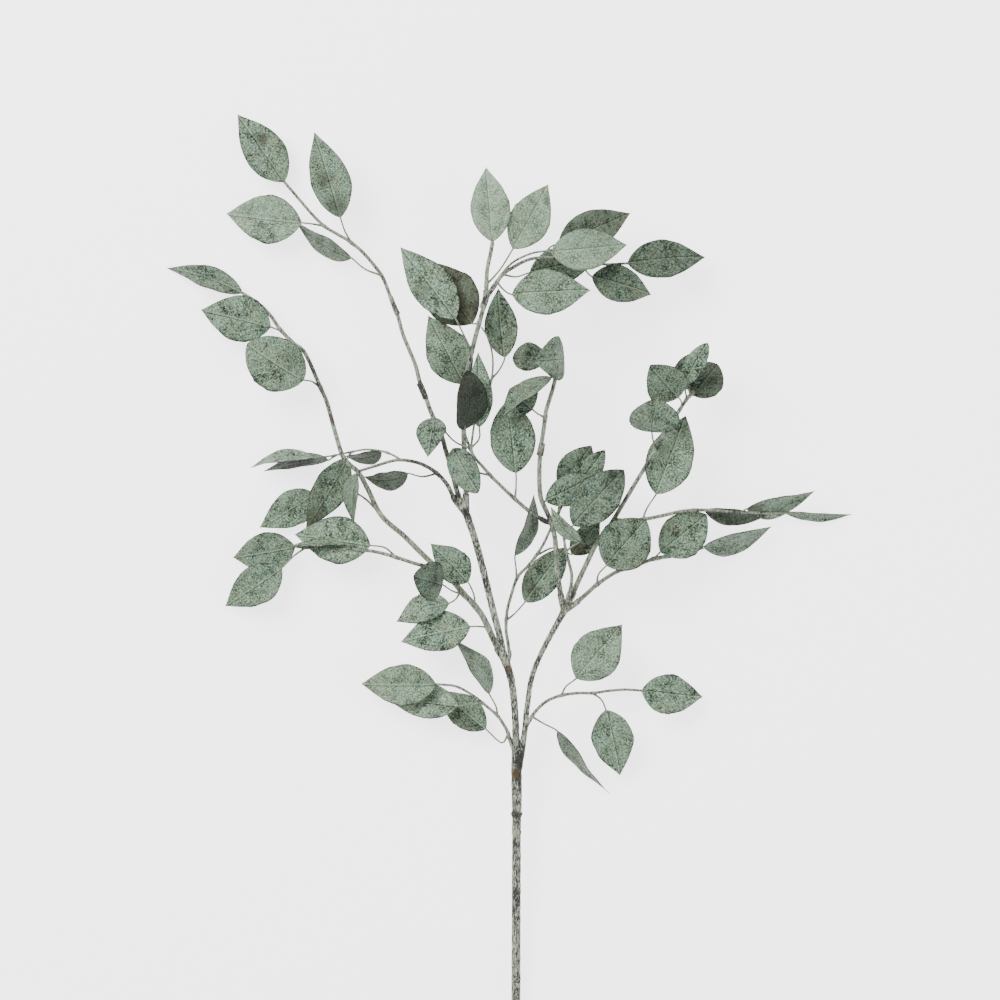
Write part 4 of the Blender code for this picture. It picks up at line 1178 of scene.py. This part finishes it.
# %% [markdown]
# Twigs, stalks and collars of a spray become one piece. Each kind has its own bark, given as the height
# and the grain of its roughness in millimetres and how young it is, from 0 for wood to 1 for a new shoot.

# %% Make the twigs of each spray
TWIG_BEVEL = 3
STALK_BEVEL = 2
TWIG_BARK = (0.12, 2.5, 0.5)
STALK_BARK = (0.05, 2.0, 0.8)
TWIG_COLLAR_BARK = (0.12, 2.0, 0.0)


def make_twigs(spray):
    """A spray's twigs, leaf stalks and collars as one piece."""
    thick = stems_mesh(spray.name, twig_routes(spray), TWIG_BEVEL)
    parts = [finished_bark(thick, *TWIG_BARK)]
    stalks = stems_mesh(spray.name, [stalk_route(blade) for blade in spray.leaves], STALK_BEVEL)
    parts.append(finished_bark(stalks, *STALK_BARK))
    if spray.sockets:
        collars = stems_mesh(spray.name, [socket_route(*socket) for socket in spray.sockets], TWIG_BEVEL)
        parts.append(finished_bark(collars, *TWIG_COLLAR_BARK))
    name = spray.name + "_twigs"
    place_piece(name, joined(name, parts), [BARK], spray.name)


for spray in SPRAYS:
    make_twigs(spray)
print(len(SPRAYS), "sets of twigs made")

# %% [markdown]
# The stem is made in the same way, with more sides because it is thick. Its cut end rests on the
# surface, so whatever reaches below height 0 is planed off, and the cut shows pale wood.

# %% Make the stem
STEM_SPACING = 1.6
STEM_BEVEL = 6
STEM_BARK = (0.35, 3.2, 0.0)
STEM_COLLAR_BARK = (0.15, 2.0, 0.0)


def planed(mesh):
    """Cuts the underside flat at height 0 and closes it."""
    work = bmesh.new()
    work.from_mesh(mesh)
    everything = work.verts[:] + work.edges[:] + work.faces[:]
    cut = bmesh.ops.bisect_plane(work, geom=everything, dist=WELD, plane_co=(0, 0, 0),
                                 plane_no=(0, 0, -1), clear_outer=True)
    rim = [item for item in cut["geom_cut"] if isinstance(item, bmesh.types.BMEdge)]
    bmesh.ops.edgeloop_fill(work, edges=rim)
    bmesh.ops.recalc_face_normals(work, faces=work.faces)
    work.to_mesh(mesh)
    work.free()
    return mesh


def make_main_stem():
    """The stem with its two leaders, flat below, and the collars of the sprays that it bears."""
    leaders = [smooth_route(LEFT_STEM, STEM_SPACING), smooth_route(RIGHT_STEM, STEM_SPACING)]
    stems = finished_bark(stems_mesh("stem", leaders, STEM_BEVEL), *STEM_BARK)
    collars = stems_mesh("collars", [socket_route(*socket) for socket in MAIN_SOCKETS], TWIG_BEVEL)
    parts = [planed(stems), finished_bark(collars, *STEM_COLLAR_BARK)]
    place_piece("main_stem_bark", joined("main_stem_bark", parts), [BARK], "main_stem")


make_main_stem()
print("stem made")

# %% [markdown]
# The surface is one pale, matte sheet. It is large, so that no edge of it shows from any side, and it
# glows like a light table, so that it stays pale and nearly without shadows round the branch.

# %% The surface
SURFACE_SIZE = 60.0
SURFACE_COLOUR = "#ebe9ea"
SURFACE_ROUGHNESS = 0.95
SURFACE_GLOW = 3.2


def make_surface():
    """The pale sheet under the branch."""
    work = bmesh.new()
    bmesh.ops.create_grid(work, x_segments=1, y_segments=1, size=SURFACE_SIZE / 2)
    mesh = bpy.data.meshes.new("surface")
    work.to_mesh(mesh)
    work.free()
    surface = bpy.data.objects.new("surface", mesh)
    bpy.context.scene.collection.objects.link(surface)
    matte = bpy.data.materials.new("matte_paper")
    matte.use_nodes = True
    shader = matte.node_tree.nodes["Principled BSDF"]
    shader.inputs["Base Color"].default_value = linear(SURFACE_COLOUR)
    shader.inputs["Roughness"].default_value = SURFACE_ROUGHNESS
    shader.inputs["Emission Color"].default_value = linear(SURFACE_COLOUR)
    shader.inputs["Emission Strength"].default_value = SURFACE_GLOW
    mesh.materials.append(matte)


make_surface()

# %% [markdown]
# Soft studio light comes from nearly everywhere, so the shadows on the surface are faint. A bright world
# gives most of it, one large panel from the upper left gives the leaves their form, and a weaker one
# fills in from the right.

# %% The light
WORLD_STRENGTH = 0.6
BRANCH_MIDDLE = Vector((0.0, 0.6, 0.05))

# Name, place and width in metres, and power in watts
PANELS = [
    ("key_panel", (-1.8, 2.4, 3.2), 2.4, 250.0),
    ("fill_panel", (2.4, 0.0, 2.8), 2.4, 50.0),
]


def make_light():
    """The bright world and the two panels, which face the middle of the branch."""
    world = bpy.data.worlds.new("studio")
    world.use_nodes = True
    sky = world.node_tree.nodes["Background"]
    sky.inputs["Color"].default_value = linear("#ffffff")
    sky.inputs["Strength"].default_value = WORLD_STRENGTH
    bpy.context.scene.world = world
    for name, place, size, power in PANELS:
        panel = bpy.data.lights.new(name, "AREA")
        panel.size = size
        panel.energy = power
        lamp = bpy.data.objects.new(name, panel)
        lamp.location = place
        lamp.rotation_euler = (Vector(place) - BRANCH_MIDDLE).to_track_quat("Z", "Y").to_euler()
        bpy.context.scene.collection.objects.link(lamp)


make_light()

# %% [markdown]
# The photograph shows the branch square on, so the camera looks straight down from high above it. Its
# long lens keeps the leaves that are nearer to it from looking larger than those below.

# %% The camera
VIEW_WIDTH = 0.9
LENS = 300.0
SENSOR = 36.0
FARTHEST_SEEN = 100.0
VIEW_CENTRE = (-0.0144, 0.610)
MIDDLE_HEIGHT = 0.045


def make_camera():
    """The camera above the branch, so high that its view is as wide as the photograph."""
    data = bpy.data.cameras.new("camera")
    data.lens = LENS
    data.sensor_width = SENSOR
    data.clip_end = FARTHEST_SEEN
    camera = bpy.data.objects.new("camera", data)
    camera.location = (*VIEW_CENTRE, MIDDLE_HEIGHT + VIEW_WIDTH * LENS / SENSOR)
    bpy.context.scene.collection.objects.link(camera)
    bpy.context.scene.camera = camera


make_camera()
